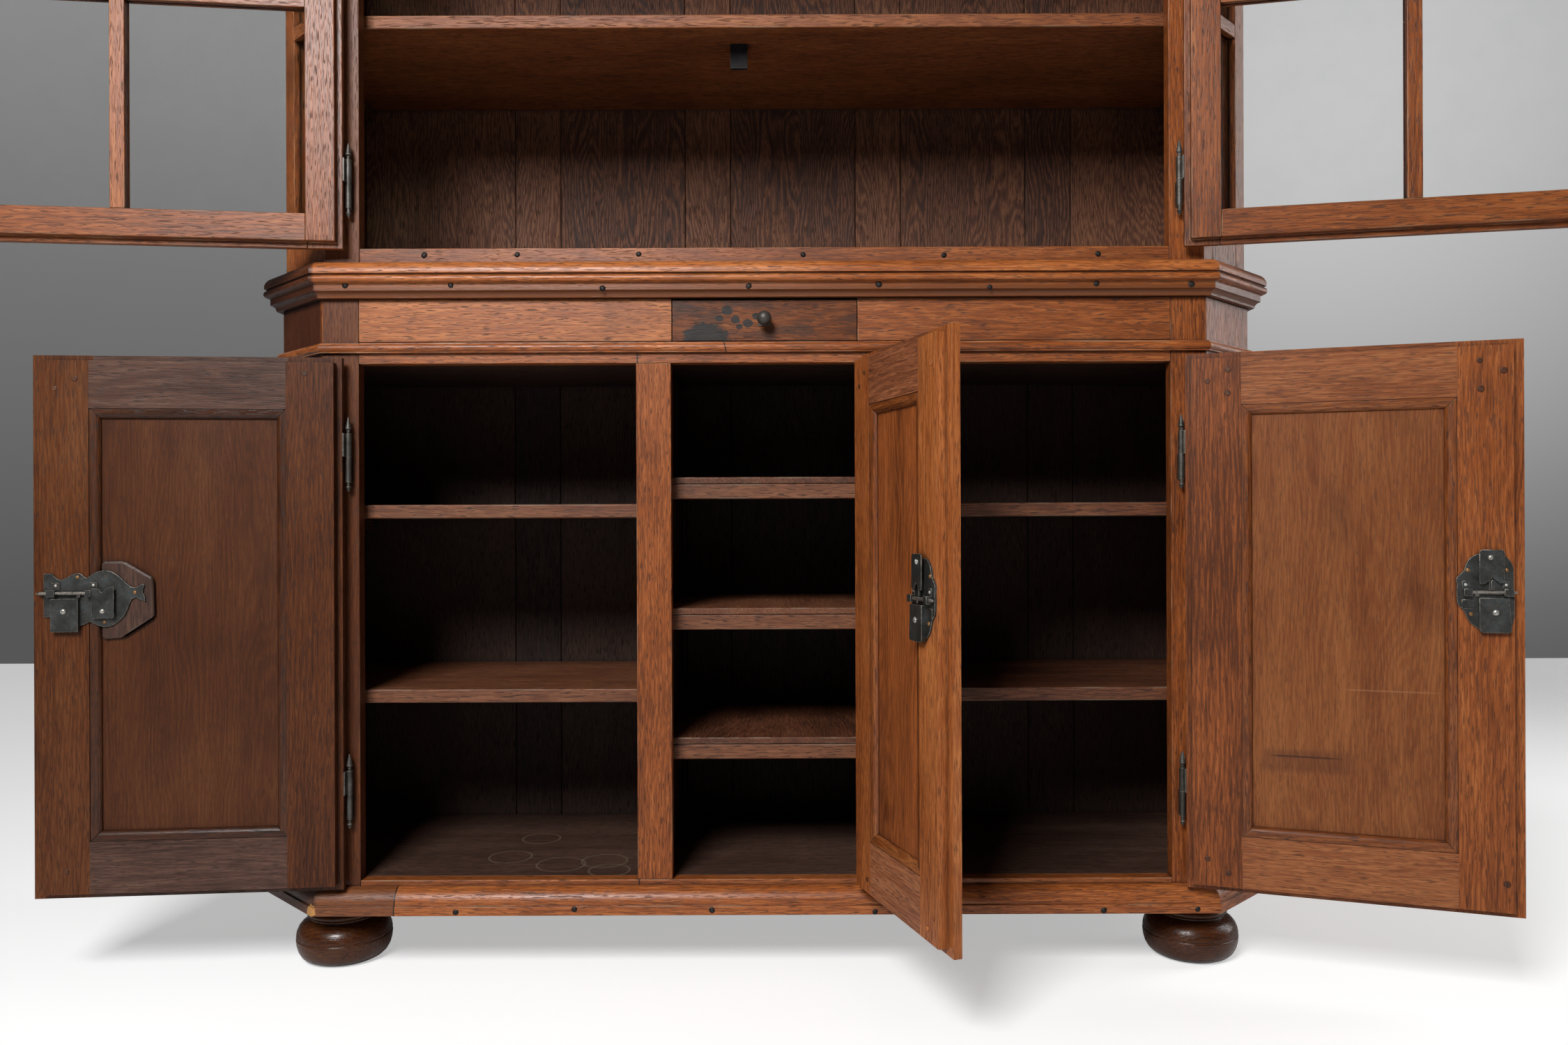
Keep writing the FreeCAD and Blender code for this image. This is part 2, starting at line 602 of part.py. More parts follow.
def lower_inside(blocks):
    node("lower_floor", [slab("LowerFloor", plan("WallThick", "WallThick"),
                              "ThresholdZ - FloorThick", "FloorThick")])
    node("partitions", [box(x0, x1, "InnerFrontY", "InnerBackY", "ThresholdZ", "DeckZ")
                        for x0, x1 in (("-PartitionOuter", "-PartitionInner"),
                                       ("PartitionInner", "PartitionOuter"))])
    shelves, bearers = [], list(blocks)
    edge = "FrontY + ShelfFront"
    for top in ("SideShelfLow", "SideShelfHigh"):
        under = f"ThresholdZ + {top} - ShelfThick"
        for sign in (-1, 1):
            shelves.append(side_shelf(sign, top))
            for x0, x1 in (("PartitionOuter", "PartitionOuter + BearerSide"),
                           ("InnerSideX - BearerSide", "InnerSideX")):
                x0, x1 = (x0, x1) if sign > 0 else (f"-({x1})", f"-({x0})")
                front = edge if "Partition" in x0 else "FrontY + Cant + WallThick"
                bearers.append(box(x0, x1, front, "InnerBackY", f"{under} - BearerSide", under))
    for top in ("CentreShelfLow", "CentreShelfMiddle", "CentreShelfHigh"):
        under = f"ThresholdZ + {top} - CentreBoardThick"
        shelves.append(box("-PartitionInner", "PartitionInner", edge, "InnerBackY", under,
                           f"ThresholdZ + {top}"))
        shelves.append(box("-PartitionInner", "PartitionInner", edge, f"{edge} + CentreRailThick",
                           f"{under} - CentreRailHeight", under))
        for x0, x1 in (("-PartitionInner", "-PartitionInner + BearerSide"),
                       ("PartitionInner - BearerSide", "PartitionInner")):
            bearers.append(box(x0, x1, f"{edge} + CentreRailThick", "InnerBackY",
                               f"{under} - BearerSide", under))
    node("lower_shelves", shelves)
    back_boards("lower_back_boards", "FootHeight", "WaistZ", "0")
    return bearers


def drawer_deck():
    """The board that the drawer runs on, with a guide at each side and a stop behind."""
    deck = slab("Deck", plan("WallThick", "WallThick"), "DeckZ", "DeckThick")
    end = "InnerFrontY + DrawerLength"
    guides = [box(x0, x1, "InnerFrontY", end, "FriezeZ", "FriezeZ + GuideHeight")
              for x0, x1 in (("-DrawerHalf - GuideWidth", "-DrawerHalf"),
                             ("DrawerHalf", "DrawerHalf + GuideWidth"))]
    stop = box("-GuideWidth", "GuideWidth", f"{end} + DrawerRun", f"{end} + DrawerRun + StopThick",
               "FriezeZ", "FriezeZ + GuideHeight")
    node("drawer_deck", [deck] + guides + [stop])


def lower_mouldings():
    moulding("base_moulding", [
        ("0", "0"), ("BaseReach", "0"), ("BaseReach", "BaseFillet"),
        ("BaseReach - BaseStep", "BaseFillet", ROUND), ("BaseTop", "BaseHeight"),
        ("0", "BaseHeight")], "BaseReach", "BaseHeight", "FootHeight")
    moulding("string_moulding", [
        ("0", "0"), ("StringFillet", "0"), ("StringFillet", "StringEdge", ROUND),
        ("StringFillet", "StringHeight - StringEdge"), ("StringFillet", "StringHeight"),
        ("0", "StringHeight")], "StringFillet + StringHeight", "StringHeight",
        "FriezeZ - StringDrop - StringHeight")
    node("waist_board", [slab("WaistBoard", plan("0", "0", "BackY"), "WaistZ", "WaistBoardThick")])
    moulding("waist_moulding", [
        ("0", "0"), ("WaistFoot", "0", HOLLOW), ("FasciaReach", "FasciaLow"),
        ("FasciaReach", "FasciaHigh"), ("BeadReach", "BeadLow", ROUND), ("BeadReach", "BeadHigh"),
        ("GrooveReach", "(BeadHigh + CrownLow) / 2"), ("CrownReach", "CrownLow"),
        ("CrownReach", "CrownEdge", ROUND), ("CrownTop", "WaistHeight"),
        ("-UpperInset", "WaistHeight"), ("-UpperInset", "WaistBoardThick"),
        ("0", "WaistBoardThick")], "BeadReach + BeadHigh", "WaistHeight", "WaistZ")


# Vitrine

def vitrine(slots, bearers):
    inset = "UpperInset"
    node("vitrine_posts", [
        cut(wall(FRONT, "UpperZ", "CorniceZ", inset, start="2 * FrontHalf - PostWidth"),
            slots["upper_left"]),
        cut(wall(FRONT, "UpperZ", "CorniceZ", inset, end="PostWidth"), slots["upper_right"])])
    back = "UpperFrontY + WallThick"
    node("vitrine_rails", [box("-OpeningHalf", "OpeningHalf", "UpperFrontY", back, low, high)
                           for low, high in (("UpperZ", "SillZ"), ("HeadZ", "CorniceZ"))])
    node("vitrine_side_boards", [wall(face, "UpperZ", "CorniceZ", inset)
                                 for face in (LEFT_SIDE, RIGHT_SIDE)])
    corner_lights(inset)
    around = "UpperInset + WallThick"
    node("vitrine_boards", [
        slab("VitrineFloor", plan(around, around), "UpperZ", "SillHeight"),
        slab("VitrineTop", plan("UpperInset", "UpperInset", "BackY"), "CorniceZ", "TopThick")])
    shelves = []
    for i in (1, 2):
        top = f"FirstPaneZ + {i} * BarStep"
        under = f"{top} - ShelfThick"
        shelves.append(slab("VitrineShelf", plan(around, "ShelfFront + UpperInset"), under, "ShelfThick"))
        side = "InnerSideX - UpperInset"
        for x0, x1 in ((f"-({side})", f"-({side}) + BearerSide"), (f"{side} - BearerSide", side)):
            bearers.append(box(x0, x1, "FrontY + Cant + WallThick", "InnerBackY",
                               f"{under} - BearerSide", under))
    node("vitrine_shelves", shelves)
    back_boards("vitrine_back_boards", "UpperZ", "CorniceZ", inset)
    moulding("cornice", [
        ("0", "0"), ("CorniceFoot", "0"), ("CorniceFoot", "CorniceFootHigh", HOLLOW),
        ("CorniceHollow", "CorniceHollowHigh"), ("CorniceHollow", "CorniceHollowHigh + CorniceStep"),
        ("CorniceHollow + CorniceStep", "CorniceHollowHigh + CorniceStep", ROUND),
        ("CorniceReach", "CorniceHeight - CorniceBand"), ("CorniceReach", "CorniceHeight"),
        ("0", "CorniceHeight")], "CorniceReach", "CorniceHeight", "CorniceZ - CorniceDrop", "-UpperInset")


def corner_lights(inset):
    """Glazed frames in the canted corners, their bars in line with those of the doors."""
    frames, panes = [], []
    for face in (LEFT_CANT, RIGHT_CANT):
        length = face[3]
        far = f"{length} - LightStile"
        frames.append(wall(face, "UpperZ", "CorniceZ", inset, end="LightStile"))
        frames.append(wall(face, "UpperZ", "CorniceZ", inset, start=far))
        levels = [("UpperZ", "FirstPaneZ"), ("FirstPaneZ + 2 * BarStep + PaneHeight", "CorniceZ")]
        levels += [(f"FirstPaneZ + {i} * BarStep - GlazingBar", f"FirstPaneZ + {i} * BarStep")
                   for i in (1, 2)]
        frames += [wall(face, low, high, inset, start="LightStile", end=far) for low, high in levels]
        for i in range(3):
            low = f"FirstPaneZ + {i} * BarStep"
            panes.append(wall(face, low, f"{low} + PaneHeight", f"{inset} + GlassSink", "GlassThick",
                              start="LightStile", end=far))
    node("corner_light_frames", frames)
    node("corner_light_glass", panes)


# Doors: drawn shut about their own hinge axis at X 0, Y 0, then turned open

class Door:
    """Where one door hangs and how large it is, measured out from its hinge axis."""

    def __init__(self, name, axis_x, axis_y, sign, angle, low, high, far, lip_far, stile, tenon, back):
        self.name, self.axis_x, self.axis_y, self.sign, self.angle = name, axis_x, axis_y, sign, angle
        self.low, self.high, self.far, self.lip_far = low, high, far, lip_far
        self.stile, self.tenon, self.back = stile, tenon, back
        self.near = "AxisOffset + DoorPlay"
        self.lip_near = "AxisOffset - LipHinge"
        self.bottom, self.top = f"{low} + DoorPlay", f"{high} - DoorPlay"
        self.lip_bottom, self.lip_top = f"{low} - LipEnd", f"{high} + LipEnd"
        self.sight_near, self.sight_far = f"{self.near} + {stile}", f"{far} - {stile}"

    def box(self, u0, u1, y0, y1, z0, z1):
        """A block between two distances from the hinge axis."""
        if self.sign > 0:
            return box(u0, u1, y0, y1, z0, z1)
        return box(f"-({u1})", f"-({u0})", y0, y1, z0, z1)

    def x(self, from_free_edge):
        return f"{self.sign} * ({self.far} - ({from_free_edge}))"

    def hung(self, group):
        """Turns a finished group about the hinge axis."""
        place(group, self.axis_x, self.axis_y, turn=FreeCAD.Rotation(STRAIGHT_UP, 1))
        bind(group, **{"Placement.Rotation.Angle": self.angle})
        return group

    def node(self, what, solids):
        return self.hung(node(self.name + what, solids))


def door_frame(door, bottom_rail, top_rail, groove=None):
    """Two stiles and two tenoned rails, with a lip all round on the outer side."""
    stiles, rails, tenons = [], [], []
    sight_low, sight_high = f"{door.bottom} + {bottom_rail}", f"{door.top} - {top_rail}"
    spans = [(door.bottom, sight_low, door.lip_bottom, sight_low),
             (sight_high, door.top, sight_high, door.lip_top)]
    for low, high, lip_low, lip_high in spans:
        tenon = door.box(f"{door.sight_near} - {door.tenon}", f"{door.sight_far} + {door.tenon}",
                         "LipThick - TenonThick / 2", "LipThick + TenonThick / 2",
                         f"{low} + TenonShoulder", f"{high} - TenonShoulder")
        rail = fuse([door.box(door.sight_near, door.sight_far, "LipThick", door.back, low, high),
                     door.box(door.sight_near, door.sight_far, "0", "LipThick", lip_low, lip_high), tenon])
        rails.append(cut(rail, [groove]) if groove else rail)
        tenons.append(tenon)
    for u0, u1, lip0, lip1 in ((door.near, door.sight_near, door.lip_near, door.sight_near),
                               (door.sight_far, door.far, door.sight_far, door.lip_far)):
        stile = fuse([door.box(u0, u1, "LipThick", door.back, door.bottom, door.top),
                      door.box(lip0, lip1, "0", "LipThick", door.lip_bottom, door.lip_top)])
        stiles.append(cut(stile, tenons + ([groove] if groove else [])))
    door.node("_stiles", stiles)
    door.node("_rails", rails)


def hinge_levels(door, inset):
    return [f"{door.low} + {inset}", f"{door.high} - {inset} - HingeLength"]


def door_hinges(door, levels):
    """The leaf on the door's edge, its knuckle and the turned end above it."""
    leaves = []
    for level in levels:
        low = f"{level} + LeafZ + HingeRun"
        high = f"{low} + KnuckleLength"
        third = "FinialTop / 3"
        leaf = door.box(f"{door.lip_near} - LeafThick", door.lip_near, "0", "LipThick", low, high)
        whole = fuse([rod("BarrelRadius", low, high), leaf,
                      rod("FinialNeck", high, f"{high} + {third}"),
                      cone("FinialNeck", "BarrelRadius", f"{high} + {third} / 2", f"{high} + {third}"),
                      cone("BarrelRadius", "FinialNeck / 2", f"{high} + {third}", f"{high} + FinialTop")])
        bore = rod("PinRadius + PinPlay", low, f"{high} - PinShort + HingeRun")
        leaves.append(cut(whole, [bore]))
    door.node("_hinges", leaves)


def fixed_hinge(door, level, face_y):
    """The barrel, pin and leaf on the frame, and the leaf again as the slot that it needs."""
    x, y = door.axis_x, door.axis_y
    low = f"{level} + FinialBottom"
    high = f"{level} + LeafZ"
    leaf = box(f"{x} - LeafThick / 2", f"{x} + LeafThick / 2", y, f"{face_y} + LeafSink", low, high)
    barrel = rod("FixedBarrelRadius", low, high, x, y)
    pin = rod("PinRadius", low, f"{high} + KnuckleLength - PinShort", x, y)
    neck = cone("FinialNeck / 2", "FixedBarrelRadius", level, f"{level} + FinialBottom / 2", x, y)
    end = rod("FinialNeck", f"{level} + FinialBottom / 3", low, x, y)
    return fuse([barrel, pin, leaf, neck, end]), leaf


def panel(door, bottom_rail, top_rail):
    """The panel in its grooves, its outer side raised to a bevelled field."""
    front, back = f"{door.back} - PanelSink - PanelThick", f"{door.back} - PanelSink"
    low, high = f"{door.bottom} + {bottom_rail}", f"{door.top} - {top_rail}"
    def blank(edge):
        return door.box(f"{door.sight_near} - ({edge})", f"{door.sight_far} + ({edge})", front, back,
                        f"{low} - ({edge})", f"{high} + ({edge})")
    field = doc.addObject("Part::Wedge", "Field")
    x0, x1 = door.sight_near, door.sight_far
    if door.sign < 0:
        x0, x1 = f"-({x1})", f"-({x0})"
    foot, head = "FieldMargin", "(FieldMargin + FieldBevel)"
    bind(field, Ymin=f"{front} - FieldRise", Ymax=front,
         Xmin=f"{x0} + {head}", Xmax=f"{x1} - {head}", Zmin=f"{low} + {head}", Zmax=f"{high} - {head}",
         X2min=f"{x0} + {foot}", X2max=f"{x1} - {foot}", Z2min=f"{low} + {foot}", Z2max=f"{high} - {foot}")
    door.node("_panel", [fuse([blank("PanelTongue - PanelPlay"), field])])
    strips(door, x0, x1, low, high, back)
    return blank("PanelTongue")


def strips(door, x0, x1, low, high, seat):
    """Four moulded strips round the inside of the panel, mitred at the corners."""
    profile = section(door.name + "_strip_section", [
        ("0", "0"), ("StripWidth", "0"), ("StripWidth", "StripEdge", ROUND),
        ("StripFlat", "StripHeight"), ("0", "StripHeight")])
    bottom_up = FreeCAD.Rotation(V(-1, 0, 0), V(0, 0, 1), V(0, 1, 0), "XYZ")
    wide, tall = f"({x1}) - ({x0})", f"({high}) - ({low})"
    corners = ((x1, low, wide), (x0, low, tall), (x0, high, wide), (x1, high, tall))
    pieces = []
    for i, (x, z, length) in enumerate(corners):
        clip = mitred("0", length, "0", "StripWidth", "0", "StripHeight", "-1", "-1")
        strip = common(bar_of(profile, length, "StripEdge"), clip)
        turn = FreeCAD.Rotation(V(0, 1, 0), 90 * i).multiply(bottom_up)
        pieces.append(place(strip, x, seat, z, turn))
    door.node("_moulding", pieces)


def staple(door, near, base):
    """A bridge over the bolt."""
    half = "BoltHigh / 2 + BoltPlay"
    top = "BoltY + BoltThick + BoltPlay"
    u0, u1 = f"{door.far} - {near} - StapleWide", f"{door.far} - {near}"
    block = door.box(u0, u1, base, f"{top} + StapleWall",
                     f"LockZ - ({half}) - StapleWall", f"LockZ + {half} + StapleWall")
    way = door.box(u0, u1, base, top, f"LockZ - ({half})", f"LockZ + {half}")
    return cut(block, [way])


def lock_common(door):
    """Staples, the plate round the keyhole outside, and the bolt, drawn back."""
    base = f"{door.back} + LockPlate"
    parts = [staple(door, near, base) for near in ("StapleNear", "StapleFar")]
    middle = f"{door.far} - {door.stile} / 2"
    parts.append(door.box(f"{middle} - KeyPlateWide / 2", f"{middle} + KeyPlateWide / 2",
                          "-KeyPlateThick", "0", "LockZ - KeyPlateHigh / 2", "LockZ + KeyPlateHigh / 2"))
    bolt = door.box(f"{door.far} + BoltProud - BoltLength", f"{door.far} + BoltProud", "BoltY",
                    "BoltY + BoltThick", "LockZ - BoltHigh / 2", "LockZ + BoltHigh / 2")
    door.node("_lock_bolt", [bolt])
    return parts


def screws(door, spots):
    base = f"{door.back} + LockPlate"
    return [stud("ScrewRadius", door.x(w), f"LockZ + {z}", base, f"{base} + ScrewHead") for w, z in spots]


def bow_lock(door):
    """A plate with one bowed edge, a notched cover above the bolt and a case below it."""
    base = f"{door.back} + LockPlate"
    outline = [("BowNear", "-BowLow"), ("BowSquare", "-BowLow", ROUND), ("BowSquare", "BowHigh"),
               ("BowNear", "BowHigh")]
    points = [(door.x(w), f"LockZ + {z}", *rest) for w, z, *rest in outline]
    parts = [plate(door.name + "_bow", points, door.back, "LockPlate", -door.sign)]
    middle = "(CaseNear + CaseWide / 2)"
    outline = [("CaseNear", "BowCoverLow"), (f"{middle} - NotchHalf", "BowCoverLow"),
               (middle, "BowCoverLow + NotchDeep"), (f"{middle} + NotchHalf", "BowCoverLow"),
               ("BowCoverWide", "BowCoverLow"), ("BowSquare", "BowHigh - NotchDeep"),
               ("CaseNear", "BowHigh - NotchDeep")]
    points = [(door.x(w), f"LockZ + {z}") for w, z in outline]
    parts.append(plate(door.name + "_cover", points, base, "LockCover"))
    face = f"{base} + CaseThick"
    parts.append(door.box(f"{door.far} - CaseNear - CaseWide", f"{door.far} - CaseNear", base, face,
                          "LockZ - CaseDrop - CaseHigh", "LockZ - CaseDrop"))
    parts.append(stud("RivetRadius", door.x(middle), "LockZ - CaseDrop - CaseHigh / 2", face,
                      f"{face} + ScrewHead"))
    edge = "BowNear + ScrewRadius"
    parts += screws(door, [(edge, "BowHigh - 2 * ScrewRadius"), (edge, "(-BowLow + 2 * ScrewRadius)")])
    door.node("_lock", parts + lock_common(door))


def fish_lock(door):
    """A long plate with a round lobe and a forked tail, on a block beside the stile."""
    base = f"{door.back} + LockPlate"
    lobe = stud("FishLobe", door.x("FishLobeFar"), "LockZ", door.back, base)
    head = door.box(f"{door.far} - FishLobeFar", f"{door.far} - FishNear", door.back, base,
                    "LockZ - FishHead / 2", "LockZ + FishHead / 2")
    outline = [("FishTailRoot", "-FishTailNarrow"), ("FishTailEnd", "-FishTailWide"),
               ("FishTailEnd - FishTailNotch", "0"), ("FishTailEnd", "FishTailWide"),
               ("FishTailRoot", "FishTailNarrow")]
    points = [(door.x(w), f"LockZ + {z}") for w, z in outline]
    tail = plate(door.name + "_tail", points, door.back, "LockPlate")
    parts = [fuse([lobe, head, tail])]
    parts.append(door.box(f"{door.far} - CaseNear - CaseWide", f"{door.far} - CaseNear", door.back,
                          f"{base} + CaseThick", "LockZ - FishHead / 2 - CaseHigh", "LockZ - FishHead / 2"))
    parts += screws(door, [("FishTailEnd - 2 * FishTailNotch", "0"),
                           ("FishLobeFar", "FishLobe - 2 * ScrewRadius"),
                           ("FishLobeFar", "(2 * ScrewRadius - FishLobe)")])
    door.node("_lock", parts + lock_common(door))
    far, half = "BlockNear + BlockWide", "BlockHigh / 2"
    outline = [("BlockNear + BlockCorner", f"-{half}"), (f"{far} - BlockCorner", f"-{half}"),
               (far, f"BlockCorner - {half}"), (far, f"{half} - BlockCorner"),
               (f"{far} - BlockCorner", half), ("BlockNear + BlockCorner", half),
               ("BlockNear", f"{half} - BlockCorner"), ("BlockNear", f"BlockCorner - {half}")]
    points = [(door.x(w), f"LockZ + {z}") for w, z in outline]
    door.node("_lock_block", [plate(door.name + "_block", points, f"{door.back} - PanelSink", "PanelSink")])


def bolt_keep(door):
    """The mortise in the post that the thrown bolt enters."""
    edge = f"{door.far} + DoorPlay"
    x0 = f"{door.axis_x} + {door.sign} * ({edge})"
    x1 = f"{x0} + {door.sign} * (BoltThrow + BoltPlay)"
    y = f"{door.axis_y} + BoltY"
    half = "BoltHigh / 2 + 2 * BoltPlay"
    x0, x1 = (x0, x1) if door.sign > 0 else (x1, x0)
    return box(x0, x1, f"{y} - BoltPlay", f"{y} + BoltThick + BoltPlay",
               f"LockZ - ({half})", f"LockZ + {half}")


def lower_door(name, axis_x, sign, angle, width, stile):
    return Door(name, axis_x, "FrontY - LipSeat - LipThick", sign, angle, "ThresholdZ", "RailZ",
                f"AxisOffset + {width} - DoorPlay", f"AxisOffset + {width} + LipFree",
                stile, "TenonLength", "DoorBack")


def upper_door(name, sign, angle, lip_far):
    edge = "(OpeningHalf + AxisOffset)"
    return Door(name, f"{-sign} * {edge}", "UpperFrontY - LipSeat - LipThick", sign, angle,
                "SillZ", "HeadZ", f"{edge} - MeetPlay", f"{edge} + {lip_far}",
                "UpperStile", "UpperTenon", "UpperDoorBack")


LEFT = lower_door("left_door", "-(OpeningHalf + AxisOffset)", 1, "-LeftDoorAngle",
                  "SideDoorWidth", "SideStile")
MIDDLE = lower_door("middle_door", "(CentreHalf + AxisOffset)", -1, "MiddleDoorAngle",
                    "2 * CentreHalf", "MiddleStile")
RIGHT = lower_door("right_door", "(OpeningHalf + AxisOffset)", -1, "RightDoorAngle",
                   "SideDoorWidth", "SideStile")
UPPER_LEFT = upper_door("upper_left_door", 1, "-UpperLeftAngle", "(-CoverLip - 2 * MeetPlay)")
UPPER_RIGHT = upper_door("upper_right_door", -1, "UpperRightAngle", "CoverLip")


def glazed_door(door):
    """A slim frame with glazing bars, two panes wide and three high."""
    door_frame(door, "UpperRail", "UpperRail")
    middle = f"({door.sight_near} + {door.sight_far}) / 2"
    columns = [(door.sight_near, f"{middle} - GlazingBar / 2"),
               (f"{middle} + GlazingBar / 2", door.sight_far)]
    y0, y1 = "GlazingBarSink", f"{door.back} - GlazingBarSink"
    bars = [door.box(columns[0][1], columns[1][0], y0, y1,
                     "FirstPaneZ", "FirstPaneZ + 2 * BarStep + PaneHeight")]
    panes = []
    for u0, u1 in columns:
        for i in range(3):
            low = f"FirstPaneZ + {i} * BarStep"
            panes.append(door.box(u0, u1, "GlassSink", "GlassSink + GlassThick",
                                  low, f"{low} + PaneHeight"))
            if i:
                bars.append(door.box(u0, u1, y0, y1, f"{low} - GlazingBar", low))
    door.node("_glazing_bars", bars)
    door.node("_glass", panes)


def doors():
    """All five doors and the hinge halves on the frame; returns the slots that the posts need."""
    slots = {name: [] for name in ("left", "right", "left_part", "right_part", "upper_left", "upper_right")}
    fixed = []
    for door, post, face_y, inset in ((LEFT, "left", "FrontY", "HingeInset"),
                                      (MIDDLE, "right_part", "FrontY", "HingeInset"),
                                      (RIGHT, "right", "FrontY", "HingeInset"),
                                      (UPPER_LEFT, "upper_left", "UpperFrontY", "UpperHingeInset"),
                                      (UPPER_RIGHT, "upper_right", "UpperFrontY", "UpperHingeInset")):
        levels = hinge_levels(door, inset)
        door_hinges(door, levels)
        for level in levels:
            hinge, leaf = fixed_hinge(door, level, face_y)
            fixed.append(hinge)
            slots[post].append(leaf)
    node("frame_hinges", fixed)
    for door, lock, post in ((LEFT, fish_lock, "left_part"), (MIDDLE, bow_lock, "left_part"),
                             (RIGHT, bow_lock, "right_part")):
        door_frame(door, "BottomRail", "TopRail", panel(door, "BottomRail", "TopRail"))
        lock(door)
        slots[post].append(bolt_keep(door))
    for door in (UPPER_LEFT, UPPER_RIGHT):
        glazed_door(door)
    return slots


# Drawer

def drawer():
    half = "(DrawerHalf - DrawerPlay)"
    low, top = "FriezeZ + DrawerPlay", "WaistZ - DrawerTopPlay"
    middle = f"({low} + {top}) / 2"
    front = box(f"-{half}", half, "FrontY", "InnerFrontY", low, top)
    bore = stud("KnobNeckRadius + ShankPlay", "0", middle, "FrontY", "InnerFrontY")
    node("drawer_front", [cut(front, [bore])])
    base, end = "FriezeZ + DrawerRun", "InnerFrontY + DrawerLength"
    high = f"{base} + DrawerSideHeight"
    inner = f"({half} - DrawerSideThick)"
    sides = [box(x0, x1, "InnerFrontY", end, base, high)
             for x0, x1 in ((f"-{half}", f"-{inner}"), (inner, half))]
    back = box(f"-{inner}", inner, f"{end} - DrawerSideThick", end, base, high)
    floor = box(f"-{inner}", inner, "InnerFrontY", f"{end} - DrawerSideThick",
                f"{base} + DrawerBottomRise", f"{base} + DrawerBottomRise + DrawerBottomThick")
    node("drawer_box", sides + [back, floor])
    node("drawer_knob", [knob(middle)])


def knob(z):
    """An eight-sided forged head on a shank that goes through the drawer front."""
    outer = "FrontY - KnobPlateThick"
    head_end = f"{outer} - KnobNeckLength"
    head = doc.addObject("Part::Prism", "KnobHead")
    head.Polygon = 8
    bind(head, Circumradius="KnobRadius", Height="KnobHeadLength")
    place(head, "0", f"{head_end} - KnobHeadLength", z, ALONG_Y)
    ball = doc.addObject("Part::Sphere", "KnobBall")
    bind(ball, Radius="KnobRadius")
    place(ball, "0", f"{head_end} - KnobHeadLength / 2", z)
    half = "KnobPlateSide / 2"
    seat = box(f"-{half}", half, outer, "FrontY", f"{z} - {half}", f"{z} + {half}")
    shank = stud("KnobNeckRadius", "0", z, f"{head_end} - KnobHeadLength / 2", "InnerFrontY")
    return fuse([common(head, ball), shank, seat])


# Nails

def nails():
    """Nails along the front of the base moulding, the waist moulding and the sill."""
    rows = ((8, "FrontHalf", "FrontY - FasciaReach", "WaistZ + (FasciaLow + FasciaHigh) / 2"),
            (7, "OpeningHalf", "UpperFrontY", "SillZ - (SillHeight + WaistBoardThick - WaistHeight) / 2"),
            (7, "FrontHalf", "FrontY - BaseReach", "FootHeight + BaseFillet / 2"))
    made = []
    for count, half, face_y, z in rows:
        for i in range(count):
            x = f"({half} - NailEnd) * {2 * i / (count - 1) - 1}"
            made.append(fuse([stud("NailHead", x, z, f"{face_y} - NailHeadHigh", face_y),
                              stud("NailShank", x, z, face_y, f"{face_y} + NailLength")]))
    node("nails", made)


def main():
    slots = doors()
    bearers = lower_inside(bun_feet())
    lower_frame(slots)
    drawer_deck()
    drawer()
    lower_mouldings()
    vitrine(slots, bearers)
    node("shelf_bearers", bearers)
    nails()
    doc.recompute()
    for thing in doc.Objects:
        if {"Invalid", "Error"} & set(thing.State):
            raise RuntimeError(f"{thing.Name} did not build: {thing.State}")
    for group in NODES:
        if group.Shape.isNull() or not group.Shape.isValid() or not group.Shape.Solids:
            raise RuntimeError(f"{group.Label} has no sound shape")
    os.makedirs("parts", exist_ok=True)
    for group in NODES:
        group.Shape.exportStep(f"parts/{group.Label}.step")
    print(len(NODES), "nodes,", sum(len(group.Shape.Solids) for group in NODES), "solids")


main()
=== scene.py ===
import json
import math
import random

import bmesh
import bpy
from bpy.props import FloatProperty, FloatVectorProperty, PointerProperty
from mathutils import Matrix, Vector

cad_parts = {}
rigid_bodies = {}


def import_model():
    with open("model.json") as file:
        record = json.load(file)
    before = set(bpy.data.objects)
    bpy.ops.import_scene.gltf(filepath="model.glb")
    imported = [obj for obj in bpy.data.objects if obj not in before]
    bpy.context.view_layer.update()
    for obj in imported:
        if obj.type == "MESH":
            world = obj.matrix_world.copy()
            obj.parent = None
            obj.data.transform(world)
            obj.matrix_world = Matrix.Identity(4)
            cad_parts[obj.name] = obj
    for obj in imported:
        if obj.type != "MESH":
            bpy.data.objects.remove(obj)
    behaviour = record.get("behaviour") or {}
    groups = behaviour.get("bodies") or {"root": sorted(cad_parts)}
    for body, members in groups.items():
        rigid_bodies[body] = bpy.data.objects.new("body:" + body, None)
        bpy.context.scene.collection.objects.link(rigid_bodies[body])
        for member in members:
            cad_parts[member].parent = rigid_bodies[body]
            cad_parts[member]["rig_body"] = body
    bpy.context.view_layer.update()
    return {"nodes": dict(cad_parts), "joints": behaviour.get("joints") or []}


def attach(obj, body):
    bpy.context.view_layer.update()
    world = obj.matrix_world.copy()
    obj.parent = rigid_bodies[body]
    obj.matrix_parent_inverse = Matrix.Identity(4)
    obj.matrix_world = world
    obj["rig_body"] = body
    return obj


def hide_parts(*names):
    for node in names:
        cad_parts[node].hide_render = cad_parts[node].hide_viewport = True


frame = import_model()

bl_info = {
    "name": "Vitrine cabinet",
    "version": (1, 0, 0),
    "blender": (4, 5, 0),
    "location": "3D View > Sidebar > Cabinet",
    "description": "Dresses a two-part oak cabinet with canted corners, open doors and a glazed top",
    "category": "Object",
}

MM = 0.001
DOORS = ("left_door", "middle_door", "right_door")
UPPER_DOORS = ("upper_left_door", "upper_right_door")

# Edges of a copied node that are flatter than the first angle are dissolved, sharper than the second eased
FLAT = math.radians(0.4)
SHARP = math.radians(26)

